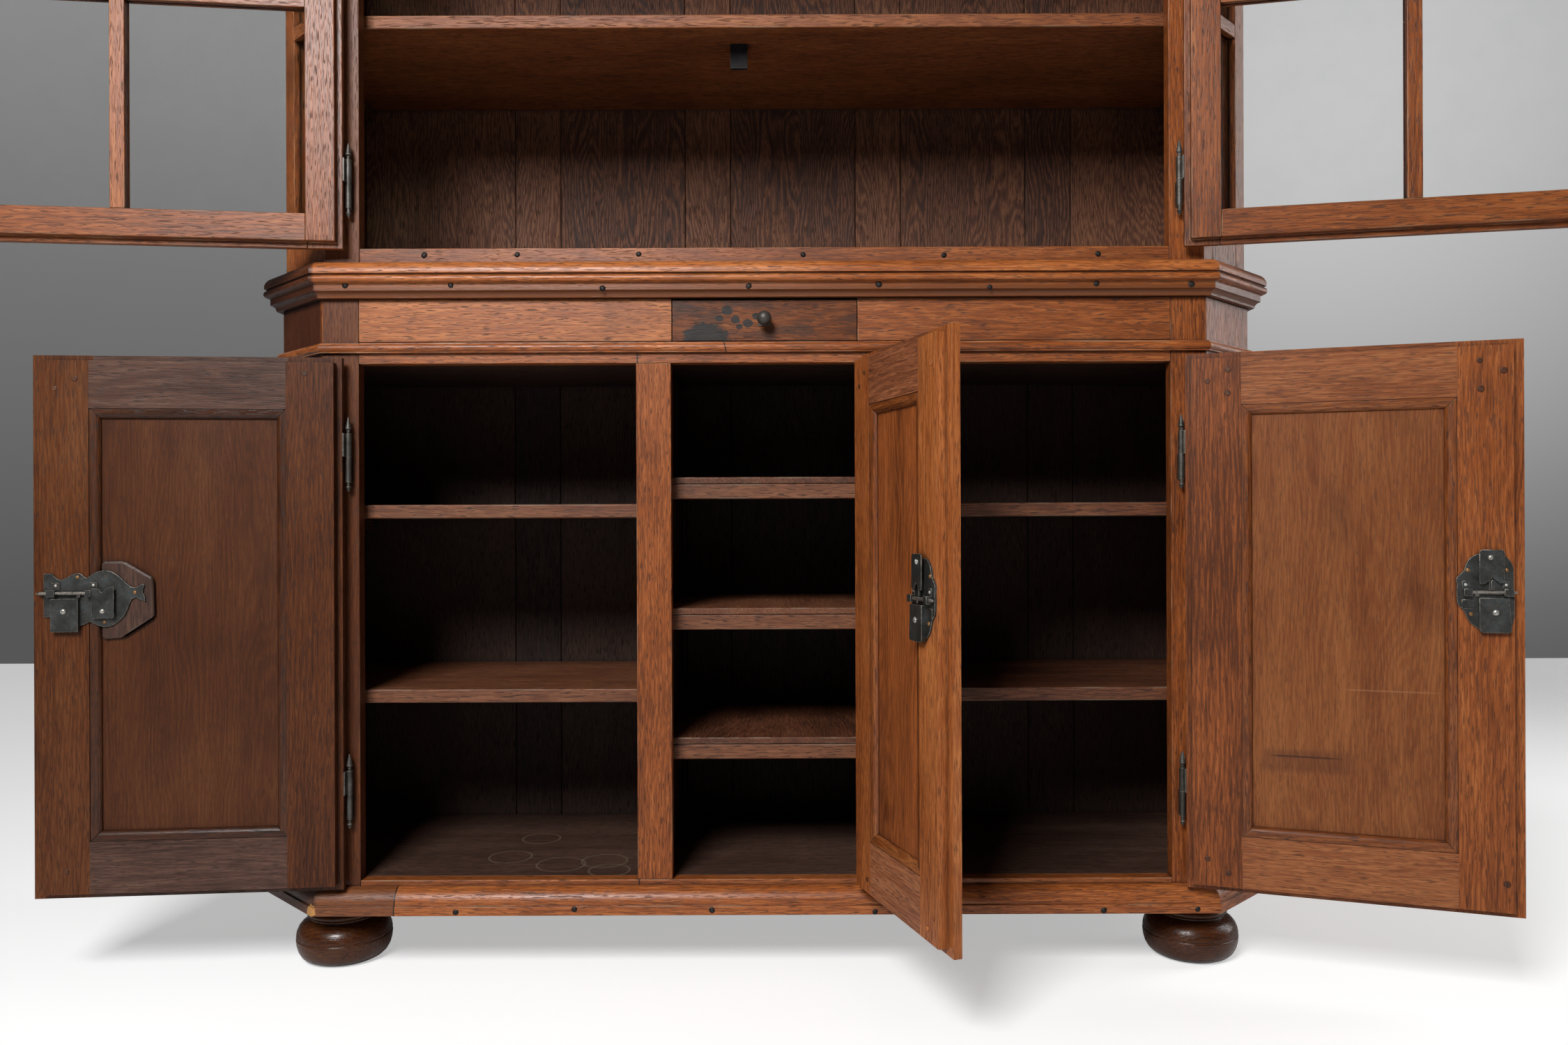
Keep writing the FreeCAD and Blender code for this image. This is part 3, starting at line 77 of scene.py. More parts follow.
# Turns about Z at which the boards of a piece may lie: square to the front, or on the canted corners too
SQUARE = (0.0,)
CANTS = (0.0, math.radians(45), math.radians(-45))

# Added to the name of a node, as the seed of its boards' grain and tones
BOARD_RUN = "g"

# Turns a plate drawn flat onto its edge: its outline stands on Y and Z, its thickness runs along X
ON_EDGE = Matrix(((0, 0, 1, 0), (1, 0, 0, 0), (0, 1, 0, 0), (0, 0, 0, 1)))

# Pegs and nails made by hand: spread of their size, and the largest turn, in radians
HAND_SIZE = (0.85, 1.1)
HAND_TURN = 6

# Lower doors, in millimetres: the free edge from the hinge axis, the inner face from the outer one,
# the bolt's height above the floor and the panel's depth below the inner face
FREE_EDGE = {"left_door": 407.0, "middle_door": 278.5, "right_door": 407.0}
INNER_FACE = 24.3
LOCK_HEIGHT = 550.0
PANEL_SINK = 8.0

# Oak of the lower doors: lightness of the stiles, panel and rails, greyness of the rails, which is painted
# sheen, strongest on the left door, and the shine
DOOR_OAK = {
    "left_door": {"stiles": 0.28, "panel": 0.22, "rails": 0.32, "grey": 0.4, "shine": 0.22},
    "middle_door": {"stiles": 0.86, "panel": 0.92, "rails": 0.76, "grey": 0.12, "shine": 0.28},
    "right_door": {"stiles": 0.84, "panel": 0.51, "rails": 0.7, "grey": 0.06, "shine": 0.24},
}

# Locks, in millimetres from the free edge of the door and from the height of the bolt.
# A third number marks a corner, the other points lie on a smooth curve.
FISH_PLATE = (
    (6.8, 27, 1), (18, 27, 1), (22.6, 21.1), (28.5, 18.6), (35.5, 20.5), (42.5, 24.8), (49.6, 27.5),
    (55.4, 26.3), (60.1, 22.3), (63.6, 20.8, 1), (68.3, 24.2), (75.3, 28.5), (84.7, 30.8), (94.1, 29.8),
    (102.3, 25.4), (110.5, 18), (117.5, 11.2), (123.3, 7.4), (129.2, 7.7), (136.2, 12.2, 1),
    (139.2, 10.9, 1), (137.6, 5), (136.8, 0), (139.2, -3.7), (140.3, -11.8, 1), (135.1, -9.9),
    (129.2, -7.1), (123.9, -7.4), (120.4, -12.4), (118.1, -18.6), (114, -28.5), (108.1, -36),
    (101.1, -42.2), (92.9, -45.9), (84.7, -46.5), (75.3, -43.4), (67.1, -39.1, 1), (62.5, -41.5),
    (56.6, -44.4, 1), (49.6, -44.4, 1), (18, -32.5, 1), (6.8, -32.5, 1))
FISH_COVER = ((72.4, 6.8, 1), (82.4, 6.2, 1), (85.9, 1.2), (92.9, 7.4, 1), (101.7, 9.3, 1), (101.7, -31, 1),
              (100.8, -33.4), (98.6, -34.1, 1), (72.4, -34.1, 1))
FISH_CASE = ((18.5, -7.4, 1), (54.3, -7.4, 1), (54.3, -52.7, 1), (18.5, -52.7, 1))
LOCK_BLOCK = ((80.2, 44, 1), (110, 44, 1), (149.5, 20, 1), (151, -35, 1), (109.5, -62.5, 1), (80.2, -64.5, 1))
BOW_PLATE = (
    (1, -20), (1, -4), (2, 9), (2, 29.6), (4.7, 39), (9.9, 45.9), (14.7, 50.6, 1), (43.6, 49.3, 1),
    (49.9, 45), (54.7, 39), (56.9, 32.1), (58.1, 27.9, 1), (62.5, 23.1), (66.6, 18.4), (67, 13.3),
    (65.8, 9, 1), (66.6, 3.9), (66.6, -3.9), (66.1, -13.3), (64, -18.4), (59.6, -23.6), (56.9, -27.9, 1),
    (54.7, -33.9), (50.6, -40.7), (45.4, -45), (41, -48, 1), (5.4, -48.4, 1), (1.7, -33.9))
BOW_COVER = ((13.2, 12.5, 1), (18.8, 12.5, 1), (27, 19.7, 1), (34.4, 12.5), (39.9, 11), (41.7, 13.5, 1),
             (41.7, 51.5, 1), (40.6, 54.2), (38, 55.3, 1), (17, 55.3, 1), (14.3, 54.2), (13.2, 51.5, 1))
BOW_CASE = ((8.1, -7.3, 1), (41.7, -7.3, 1), (41.7, -48, 1), (40.4, -51), (37.5, -52.3, 1), (9.5, -52.3, 1),
            (6.6, -51), (5.4, -48, 1))
BOW_WIDTH = 68.0

# The rest of each lock. Heights are in millimetres above the plate.
# A post holds the cover: its two places and its height. A bar has its two ends along the bolt, its two
# sides across it, and its bottom and top. A bridge stands over the bolt and has a foot above the bolt.
# A screw and a brass pin have two places, a height and a radius. The bolt is given by its far end.
FISH_LOCK = {
    "plate": FISH_PLATE, "cover": FISH_COVER, "case": FISH_CASE,
    "cover_low": 5, "cover_top": 6.6, "case_top": 6.4, "post": (86.5, -24.8, 5.5),
    "bars": ((75, 78, -14, -4, 0, 4.5),),
    "bridges": ((13.3, 24.4), (64.5, 71.8)),
    "feet": ((18, 28.5), (67.5, 78)),
    "screws": ((35.5, -24.8, 6.4, 3.9), (86.5, -24.8, 6.6, 3.4), (23.5, 10.5, 2, 2.4), (73, 11, 2, 2.4)),
    "pins": ((51.3, 22.3, 0, 2.4), (126.9, 0.6, 0, 2.4), (86.5, -39.7, 0, 2.4)),
    "bolt": 68,
}
BOW_LOCK = {
    "plate": BOW_PLATE, "cover": BOW_COVER, "case": BOW_CASE,
    "cover_low": 4.6, "cover_top": 6.2, "case_top": 6, "post": (29.2, 45.4, 5),
    "bars": ((28.6, 30.6, 3.4, 18, 1.5, 4.2), (23.6, 27.6, 3.4, 16, 0, 3), (47.5, 61, -22, -10, 0, 1)),
    "bridges": ((3.2, 13.6), (49.9, 59.5)),
    "feet": ((6.9, 14.5), (52.5, 61)),
    "screws": ((23.3, -26, 6, 4), (29.2, 45.4, 6.2, 3.4), (10.7, 9.5, 2, 2.3), (56.8, 9.5, 2, 2.3)),
    "pins": ((54, 28.7, 0, 2.6), (9.5, 29, 0, 2.6), (50.3, -28.7, 0, 2.6)),
    "bolt": 58,
}
POST_RADIUS = 2.4
BRIDGE_HALF = 3.0
BRIDGE_ROOF = 6.2
BRIDGE_WALL = 1.6
BRIDGE_FOOT = (4.4, 14.5)
BRIDGE_FOOT_THICK = 2

# A bolt, in millimetres: its middle above the plate, where it starts to taper, its tip, the radius at its
# far end, where it tapers and at its tip, and the catch for the key
BOLT_RISE = 3.3
BOLT_TAPER = 4
BOLT_TIP = -1.2
BOLT_RADII = (2.6, 2.5, 1.1)
CATCH_ENDS = (16, 12)
CATCH_SIDES = (-5.5, -2)

# Keyholes, in millimetres from the middle of the hole: the plate, the hole, the hole's place from the free
# edge, and how far the dark filling, painted shade for the depth of the hole, stands out of the door and
# reaches into it
KEY_PLATE = ((0, 24), (5, 18), (8, 9), (6, 0), (8, -9), (5, -18), (0, -25), (-5, -18), (-8, -9), (-6, 0),
             (-8, 9), (-5, 18))
KEYHOLE = ((0, 6), (2, 5.3), (3, 3.4), (2, 1), (1.5, -3), (1.7, -7), (0, -7.6), (-1.7, -7), (-1.5, -3),
           (-2, 1), (-3, 3.4), (-2, 5.3))
KEY_PLATE_THICK = 1.5
KEYHOLE_PLACE = {"left_door": 32.5, "middle_door": 26.0, "right_door": 32.5}
KEYHOLE_SHADE_OUT = 0.25
KEYHOLE_SHADE_DEEP = 0.5

# The block behind the left lock stops short of the inner face and has bevelled edges, in millimetres
BLOCK_CLEAR = 0.2
BLOCK_BEVEL = 4.5

# Rounding of the edges of small pieces, in millimetres
SCREW_EASE = 0.05
NAIL_EASE = 0.1
KEYHOLE_SHADE_EASE = 0.1
PEG_EASE = 0.2
STRAP_EASE = 0.5

# A foot, in millimetres: radius and height, from the floor up. Four stand at these places.
FOOT_PROFILE = (
    (45, 0), (51, 1), (56, 3.5), (61, 8), (65, 15), (67.2, 23), (68, 30), (68, 33), (66.9, 33.8),
    (66.9, 35.4), (67.8, 36.2), (66.8, 43), (64, 49.5), (60, 54.5), (55, 58), (50.5, 60), (48.6, 61.5),
    (48.6, 63.5), (51, 65), (52.6, 67.2), (52.8, 69.5), (51.6, 72), (49, 73.8), (48.2, 75), (48.6, 76.4),
    (51, 77.2), (51, 88))
FOOT_X = (-632, 632)
FOOT_Y = (-127, 120)

# Oak pegs of the lower doors: millimetres from the hinge axis and from the floor
PEGS = {
    "left_door": ((359.8, 846.2), (386.3, 832.6), (373.1, 165.8), (52.4, 855.3)),
    "middle_door": ((50.3, 850.4), (32.3, 833.5), (55.5, 152.4)),
    "right_door": ((61.5, 854.6), (35.0, 839.3), (61.3, 822), (368, 852), (395.4, 838), (369.5, 815),
                   (32.7, 171.5), (60.0, 153.7), (397.2, 171.5)),
}
PALE_PEGS = {"middle_door": ((265.4, 835.8), (265.6, 167.2), (248.7, 149.4))}

# Nails of each row, in millimetres from the middle of the front; rows run from the lowest up.
# Heads sink into the wood and wander from the row's height. The CAD nails of a row lie within the reach.
NAIL_ROWS = ((-440, -272, -77, 154, 478, 611), (-596, -446, -230, -22, 163, 321, 473, 608),
             (-490, -356, -181, 56, 259, 481))
NAIL_SINK = 1.4
NAIL_WANDER = 3
ROW_REACH = 12
ROW_GAP = 20

# Strap under the vitrine shelf, in millimetres: its bent side, half its width, and its place
STRAP_SIDE = ((0, 0), (0, -37), (4, -39), (7, -36), (7, -33), (4.5, -35), (3, -33), (3, -3),
              (22, -3), (22, 0))
STRAP_HALF = 13
STRAP_X = -39
STRAP_Y = -100

# Marks in the oak, in millimetres. Splashes: place across, height, radius. Jar rings: place across, place
# in depth, radius. Scratches: height, half width, start, end, and how strong they are, with their colour.
SPLASHES = ((-85, 904, 29), (-54, 949, 7), (-65, 938, 5), (-42, 936, 6), (-24, 931, 6), (-36, 926, 4),
            (-12, 941, 5))
JAR_RINGS = ((-369, 22, 30), (-247, -103, 34), (-233, -150, 30), (-395, -81, 32), (-310, -120, 36))
JAR_RING_HALF = 2.2
FLOOR_TOP = 131.5
SCRATCHES = ((320, 1.7, 694, 792, 0.75, (0.02, 0.008, 0.005)),
             (314, 20, 680, 810, 0.4, (0.06, 0.018, 0.008)),
             (414.5, 1.4, 780, 905, 0.25, (0.4, 0.2, 0.1)))

# Grain of the oak: the way across its growth rings, and their rate in radians for each metre
RING_WAY = (1.0, 0.62, 0.02)
RING_RATE = 900.0

# Colours of the other marks in the oak and of the wear of the iron
JOINT_LINE = (0.01, 0.006, 0.004)
SPILL = (0.016, 0.015, 0.014)
SPILL_HAZE = (0.03, 0.016, 0.011)
PALE_RING = (0.2, 0.15, 0.1)
REPAIR = (0.07, 0.026, 0.013)
CHIP = (0.5, 0.24, 0.07)
DARK_SKIN = (0.035, 0.008, 0.003)
DULL_BAND = (0.15, 0.046, 0.014)
# Painted shade on the left posts, where the open left door shades them
LEFT_POST_SHADE = (0.045, 0.014, 0.006)
DRY_BACK = (0.05, 0.026, 0.014)
RUST = (0.1, 0.042, 0.018)
BRIGHT_IRON = (0.42, 0.38, 0.33)

# Light that the floor and the surroundings give, and the greys that the picture shows. The backdrop turns
# paler from the low to the high place, and glows most in one direction.
STUDIO_LIGHT = (0.06, 0.06, 0.06)
FLOOR_SEEN = (0.44, 0.44, 0.44)
BACKDROP_PLACES = (-0.061, 0.367)
BACKDROP_GREYS = ((0.0, (0.093,) * 3), (0.587, (0.174,) * 3), (1.0, (0.26,) * 3))
GLOW_SEEN = (0.62, 0.62, 0.62)
GLOW_WAY = (0.41, 0.857, 0.31)


# Sizes and colours that a user would change

class CabinetSizes(bpy.types.PropertyGroup):
    """Roundings and small sizes, in metres"""
    ease: FloatProperty(
        name="Eased edges", description="Rounding on the edges of the boards", default=1.3 * MM,
        unit="LENGTH")
    moulding_ease: FloatProperty(
        name="Moulding edges", description="Rounding on the edges of the mouldings", default=0.7 * MM,
        unit="LENGTH")
    iron_ease: FloatProperty(
        name="Iron edges", description="Rounding on the edges of the ironwork", default=0.4 * MM,
        unit="LENGTH")
    peg: FloatProperty(
        name="Peg radius", description="Oak pegs in the joints of the lower doors", default=4.0 * MM,
        unit="LENGTH")
    nail: FloatProperty(
        name="Nail head", description="Radius of the forged nail heads", default=5.2 * MM, unit="LENGTH")
    lock_plate: FloatProperty(
        name="Lock plate", description="Thickness of the lock plates", default=2.5 * MM, unit="LENGTH")


class OakColours(bpy.types.PropertyGroup):
    """Colours of the oak"""
    pale: FloatVectorProperty(
        name="Pale", description="Lightest streaks of the waxed oak", default=(0.5, 0.17, 0.048),
        subtype="COLOR")
    middle: FloatVectorProperty(
        name="Middle", description="Body of the waxed oak", default=(0.3, 0.08, 0.018), subtype="COLOR")
    deep: FloatVectorProperty(
        name="Deep", description="Darkest streaks of the waxed oak", default=(0.1, 0.026, 0.007),
        subtype="COLOR")
    pore: FloatVectorProperty(
        name="Pores", description="Open pores filled with old wax", default=(0.03, 0.01, 0.005),
        subtype="COLOR")
    worn: FloatVectorProperty(
        name="Worn edge", description="Rubbed edges", default=(0.36, 0.2, 0.11), subtype="COLOR")


class StageSettings(bpy.types.PropertyGroup):
    """Camera and floor"""
    camera_place: FloatVectorProperty(
        name="Camera", description="Place of the camera", default=(0.027, -1.848, 0.644),
        subtype="TRANSLATION")
    camera_roll: FloatProperty(
        name="Camera roll", description="Lean of the camera to its right", default=math.radians(0.21),
        subtype="ANGLE")
    lens: FloatProperty(
        name="Lens", description="Focal length in millimetres on a 36 mm sensor", default=26.4)
    floor: FloatVectorProperty(
        name="Floor", description="Colour of the floor", default=(0.8, 0.8, 0.8), subtype="COLOR")


# Shader trees

class Tree:
    """Adds nodes to a shader tree and links them."""

    def __init__(self, tree):
        self.tree = tree

    def add(self, kind, settings=(), **inputs):
        """A new node. An underscore in the name of an input stands for a space."""
        item = self.tree.nodes.new("ShaderNode" + kind)
        for key, setting in dict(settings).items():
            setattr(item, key, setting)
        for key, given in inputs.items():
            self.feed(item.inputs[key.replace("_", " ")], given)
        return item

    def feed(self, socket, given):
        """Links another socket to this one, or sets its value."""
        if isinstance(given, bpy.types.NodeSocket):
            self.tree.links.new(given, socket)
        else:
            socket.default_value = given

    def math(self, operation, first, second=0.0):
        """A number from one number or two."""
        item = self.add("Math", {"operation": operation})
        self.feed(item.inputs[0], first)
        self.feed(item.inputs[1], second)
        return item.outputs[0]

    def times(self, first, second):
        return self.math("MULTIPLY", first, second)

    def total(self, start, *terms):
        """Adds up (value, weight) pairs."""
        for term, weight in terms:
            start = self.math("ADD", self.times(term, weight), start)
        return start

    def vector_math(self, operation, vector, point):
        """A number from two vectors, such as their distance."""
        item = self.add("VectorMath", {"operation": operation})
        self.feed(item.inputs[0], vector)
        self.feed(item.inputs[1], point)
        return item.outputs["Value"]

    def scaled(self, vector, x, y, z):
        """A vector with each of its axes scaled."""
        return self.add("Mapping", Vector=vector, Scale=(x, y, z)).outputs[0]

    def noise(self, vector, scale, detail=2.0, roughness=0.5):
        return self.add("TexNoise", Vector=vector, Scale=scale, Detail=detail,
                        Roughness=roughness).outputs["Fac"]

    def ramp(self, given, low, high, to_low=0.0, to_high=1.0, kind="SMOOTHSTEP"):
        """Carries a value from one range to another, and holds it at the ends."""
        item = self.add("MapRange", {"interpolation_type": kind})
        for key, number in (("Value", given), ("From Min", low), ("From Max", high),
                            ("To Min", to_low), ("To Max", to_high)):
            self.feed(item.inputs[key], number)
        return item.outputs["Result"]

    def line(self, given, place, half):
        """A mask that is 1 close to a place and falls to 0 at half the width of the line."""
        return self.ramp(self.math("ABSOLUTE", self.math("SUBTRACT", given, place)), half, 0.5 * half)

    def colours(self, given, *stops):
        """A colour from a value, between (place, colour) stops."""
        item = self.add("ValToRGB")
        ramp = item.color_ramp
        while len(ramp.elements) < len(stops):
            ramp.elements.new(1.0)
        for element, (place, colour) in zip(ramp.elements, stops):
            element.position = place
            element.color = (*colour, 1.0)
        self.feed(item.inputs["Fac"], given)
        return item.outputs["Color"]

    def mix(self, share, first, second, blend="MIX"):
        """Mixes two colours, which are inputs 6 and 7 and output 2 of a Mix node."""
        item = self.add("Mix", {"data_type": "RGBA", "blend_type": blend})
        self.feed(item.inputs[0], share)
        for index, given in ((6, first), (7, second)):
            self.feed(item.inputs[index], given if isinstance(given, bpy.types.NodeSocket)
                      else (*given, 1.0))
        return item.outputs[2]

    def attribute(self, name, output):
        """An attribute of the mesh."""
        return self.add("Attribute", {"attribute_name": name}).outputs[output]

    def place(self):
        """Object coordinates, in metres."""
        return self.add("TexCoord").outputs["Object"]

    def axis(self, letter):
        """One object coordinate: X across the front, Y to the back or Z up."""
        return self.add("SeparateXYZ", Vector=self.place()).outputs[letter]

    def group(self, group, **inputs):
        """The outputs of a node group that is placed in this tree."""
        return self.add("Group", {"node_tree": group}, **inputs).outputs


def new_material(name):
    """A material, its shader tree and its main shader."""
    material = bpy.data.materials.new(name)
    material.use_nodes = True
    return material, Tree(material.node_tree), material.node_tree.nodes["Principled BSDF"]


def new_group(name, inputs, outputs):
    """A node group with the named inputs, each with its kind, and the named outputs, all numbers."""
    group = bpy.data.node_groups.new(name, "ShaderNodeTree")
    for label, kind in inputs:
        group.interface.new_socket(label, in_out="INPUT", socket_type="NodeSocket" + kind)
    for label in outputs:
        group.interface.new_socket(label, in_out="OUTPUT", socket_type="NodeSocketFloat")
    tree = Tree(group)
    given = group.nodes.new("NodeGroupInput").outputs
    results = group.nodes.new("NodeGroupOutput").inputs
    return group, tree, given, results


def oak_grain_group():
    """Fine streaks, broad bands, growth rings and pores of oak, its grain along Z of the vector."""
    group, tree, given, results = new_group(
        "Oak grain", (("Grain", "Vector"), ("Figure", "Float")), ("Streaks", "Bands", "Rings", "Pores"))
    grain, figure = given["Grain"], given["Figure"]
    bend = tree.noise(tree.scaled(grain, 1, 1, 0.2), 8.0, 3.0)
    across = tree.vector_math("DOT_PRODUCT", grain, RING_WAY)
    sway = tree.times(tree.times(bend, figure), 0.12)
    lines = tree.math("SINE", tree.times(tree.math("ADD", across, sway), RING_RATE))
    rings = tree.ramp(lines, -1.0, 1.0)
    tree.feed(results["Rings"], rings)
    tree.feed(results["Streaks"], tree.noise(tree.scaled(grain, 1, 1, 0.05), 430.0, 3.0, 0.7))
    broad = tree.noise(tree.scaled(grain, 1, 1, 0.14), 26.0, 3.0, 0.5)
    tree.feed(results["Bands"], tree.total(0.0, (broad, 0.6), (tree.noise(grain, 5.0, 3.0), 0.4)))
    dashes = tree.noise(tree.scaled(grain, 1, 1, 0.09), 700.0, 1.0)
    crowd = tree.ramp(rings, 0.0, 1.0, 0.45, 1.0)
    tree.feed(results["Pores"], tree.times(tree.ramp(dashes, 0.52, 0.64), crowd))
    return group


def rubbed_group():
    """Where the eased edges are rubbed, and where old wax and dirt lie."""
    group, tree, given, results = new_group(
        "Rubbed edges", (("Edge", "Float"), ("Grain", "Vector")), ("Rubbed", "Dirt"))
    spots = tree.noise(tree.scaled(given["Grain"], 1, 1, 0.4), 34.0, 3.0)
    tree.feed(results["Rubbed"], tree.times(given["Edge"], tree.ramp(spots, 0.44, 0.68)))
    smears = tree.noise(tree.scaled(given["Grain"], 1, 1, 0.5), 13.0, 5.0, 0.62)
    tree.feed(results["Dirt"], tree.ramp(smears, 0.52, 0.76))
    return group


# Filled by the operator that mixes the finishes
GROUPS = {}
FINISHES = {}


def oak(name, light=1.0, grey=0.0, figure=1.0, rough=0.4, worn=0.75, rings=0.16, streaks=1.2, pores=0.75,
        shine=0.36, marks=None):
    """Old waxed oak: light and grey set its colour, figure, rings, streaks and pores its grain, rough and
    shine its polish, worn its rubbed edges, and marks adds stains of its own, or on the posts painted shade.
    Corners and crevices get painted shade, which also stands for the dirt in them."""
    colours = bpy.context.scene.oak_colours
    material, tree, shader = new_material(name)
    grain = tree.attribute("grain", "Vector")
    found = tree.group(GROUPS["grain"], Grain=grain, Figure=figure)
    rubbed = tree.group(GROUPS["rubbed"], Edge=tree.attribute("edge", "Fac"), Grain=grain)

    def shade(colour):
        dull = 0.3 * colour[0] + 0.5 * colour[1] + 0.2 * colour[2]
        return tuple(light * (part + (1.35 * dull - part) * grey) for part in colour)

    tone = tree.total(-0.06 - 0.5 * (streaks + rings), (found["Streaks"], streaks), (found["Rings"], rings),
                      (found["Bands"], 1.1), (tree.attribute("tone", "Fac"), 0.36))
    base = tree.colours(tone, (0.08, shade(colours.deep)), (0.48, shade(colours.middle)),
                        (0.92, shade(colours.pale)))
    base = tree.mix(tree.times(found["Pores"], pores), base, shade(colours.pore))
    base = tree.mix(tree.times(rubbed["Dirt"], 0.5), base, shade(colours.deep))
    base = tree.mix(tree.times(rubbed["Rubbed"], worn), base, shade(colours.worn))
    if marks:
        base = marks(tree, base)
    # Painted shade, partly dirt: ambient occlusion darkens corners and crevices towards the pore colour
    corner = tree.add("AmbientOcclusion", {"samples": 4}, Distance=11 * MM).outputs["AO"]
    base = tree.mix(tree.ramp(corner, 0.3, 0.86, 0.85, 0.0), base, shade(colours.pore))
    tree.feed(shader.inputs["Base Color"], base)
    gloss = tree.total(rough - 0.09, (found["Pores"], 0.2), (found["Bands"], 0.18))
    tree.feed(shader.inputs["Roughness"], gloss)
    height = tree.total(0.5, (found["Streaks"], 0.4), (found["Pores"], -0.6))
    bump = tree.add("Bump", Strength=0.35, Distance=0.6 * MM, Height=height)
    tree.feed(shader.inputs["Normal"], bump.outputs["Normal"])
    shader.inputs["Specular IOR Level"].default_value = shine
    return material


def drawer_stains(tree, base):
    """A dark spill at the lower left of the drawer front, and splashes beside it."""
    whole = tree.place()
    ragged = tree.noise(whole, 130.0, 3.0)
    haze = tree.ramp(tree.noise(tree.scaled(whole, 1, 1, 2.0), 22.0, 3.0), 0.5, 0.64, 0.0, 0.6)
    base = tree.mix(haze, base, SPILL_HAZE)
    for x, z, radius in SPLASHES:
        across = tree.times(tree.math("SUBTRACT", tree.axis("X"), x * MM), 0.85)
        up = tree.math("SUBTRACT", tree.axis("Z"), z * MM)
        away = tree.math("SQRT", tree.total(0.0, (tree.math("POWER", across, 2.0), 1.0),
                                            (tree.math("POWER", up, 2.0), 1.0)))
        reach = tree.total(0.0, (away, 1.0), (ragged, -0.7 * radius * MM))
        share = tree.ramp(reach, 0.68 * radius * MM, 0.56 * radius * MM, 0.0, 0.95)
        base = tree.mix(share, base, SPILL)
    return base


def ring_stains(tree, base):
    """Pale rings that jars left on the floor of the left compartment."""
    for x, y, radius in JAR_RINGS:
        away = tree.vector_math("DISTANCE", tree.place(), (x * MM, y * MM, FLOOR_TOP * MM))
        ring = tree.line(away, radius * MM, JAR_RING_HALF * MM)
        base = tree.mix(tree.times(ring, 0.35), base, PALE_RING)
    return base


def base_repair(tree, base):
    """A darker length let into the left end of the base moulding, its joint and a chip at the mitre."""
    joint = -528 * MM
    chip = (-646 * MM, -216 * MM, 94 * MM)
    base = dark_cant(tree, base)
    base = tree.mix(tree.ramp(tree.axis("X"), joint + MM, joint - MM, 0.0, 0.62), base, REPAIR)
    base = tree.mix(tree.line(tree.axis("X"), joint, 1.2 * MM), base, JOINT_LINE)
    away = tree.vector_math("DISTANCE", tree.place(), chip)
    ragged = tree.total(0.0, (away, 1.0), (tree.noise(tree.place(), 160.0, 3.0), 12 * MM))
    return tree.mix(tree.ramp(ragged, 16.5 * MM, 14 * MM, 0.0, 0.9), base, CHIP)


def dark_cant(tree, base):
    """The left canted corner kept a darker skin than the front."""
    start, full = -637 * MM, -643 * MM
    return tree.mix(tree.ramp(tree.axis("X"), start, full, 0.0, 0.85), base, DARK_SKIN)


def dull_fascia(tree, base):
    """The flat band of the waist moulding is browner than the bead above it."""
    height, half = 970 * MM, 17 * MM
    base = tree.mix(tree.line(tree.axis("Z"), height, half), base, DULL_BAND)
    return dark_cant(tree, base)


def scratches(tree, base):
    """A dark scratch with a smear under it, and a pale scratch higher up, on the right door."""
    for height, half, start, end, share, colour in SCRATCHES:
        fade_in = tree.ramp(tree.axis("X"), start * MM, (start + 15) * MM)
        fade_out = tree.ramp(tree.axis("X"), end * MM, (end - 30) * MM, 0.0, share)
        width = tree.line(tree.axis("Z"), height * MM, half * MM)
        base = tree.mix(tree.times(tree.times(fade_in, fade_out), width), base, colour)
    return base


def painted_shade_left_post(tree, base):
    """Painted shade: the left posts are darker than the right ones, where the open left door shades them."""
    start, full = -400 * MM, -500 * MM
    return tree.mix(tree.ramp(tree.axis("X"), start, full, 0.0, 0.72), base, LEFT_POST_SHADE)


def dusty_back(tree, base):
    """The outer faces of the back boards are dry and paler than the insides."""
    start, full = 189 * MM, 193 * MM
    return tree.mix(tree.ramp(tree.axis("Y"), start, full), base, DRY_BACK, "ADD")


def rail_joint(tree, base):
    """Joint between the two lengths of the front rail over the left partition."""
    base = dark_cant(tree, base)
    joint, rail_top = -183 * MM, 905 * MM
    below = tree.ramp(tree.axis("Z"), rail_top + MM, rail_top - MM)
    return tree.mix(tree.times(tree.line(tree.axis("X"), joint, 1.3 * MM), below), base, JOINT_LINE)


def string_crack(tree, base):
    """A crack across the string moulding under the drawer."""
    slant = tree.total(0.0, (tree.axis("X"), 1.0), (tree.axis("Z"), 0.25))
    return tree.mix(tree.line(slant, 167.5 * MM, 1.1 * MM), base, JOINT_LINE)


def old_iron(name, colour, rough=0.5, edges=0.75):
    """Forged iron with a blue-grey skin, brown rust and bright rubbed edges."""
    material, tree, shader = new_material(name)
    whole = tree.place()
    cloud = tree.noise(whole, 45.0, 5.0, 0.6)
    specks = tree.noise(whole, 320.0, 3.0, 0.6)
    base = tree.colours(cloud, (0.3, tuple(0.5 * part for part in colour)), (0.52, colour),
                        (0.72, (1.5 * colour[0], 1.65 * colour[1], 1.8 * colour[2])))
    rust = tree.times(tree.ramp(specks, 0.55, 0.72), tree.ramp(cloud, 0.4, 0.6))
    base = tree.mix(tree.times(rust, 0.6), base, RUST)
    edge = tree.times(tree.attribute("edge", "Fac"), tree.ramp(specks, 0.3, 0.55))
    base = tree.mix(tree.times(edge, edges), base, BRIGHT_IRON)
    tree.feed(shader.inputs["Base Color"], base)
    tree.feed(shader.inputs["Roughness"], tree.total(rough - 0.1, (rust, 0.3), (specks, 0.2)))
    height = tree.total(0.0, (cloud, 0.7), (specks, 0.4))
    bump = tree.add("Bump", Strength=0.5, Distance=0.4 * MM, Height=height)
    tree.feed(shader.inputs["Normal"], bump.outputs["Normal"])
    shader.inputs["Metallic"].default_value = 0.7
    return material


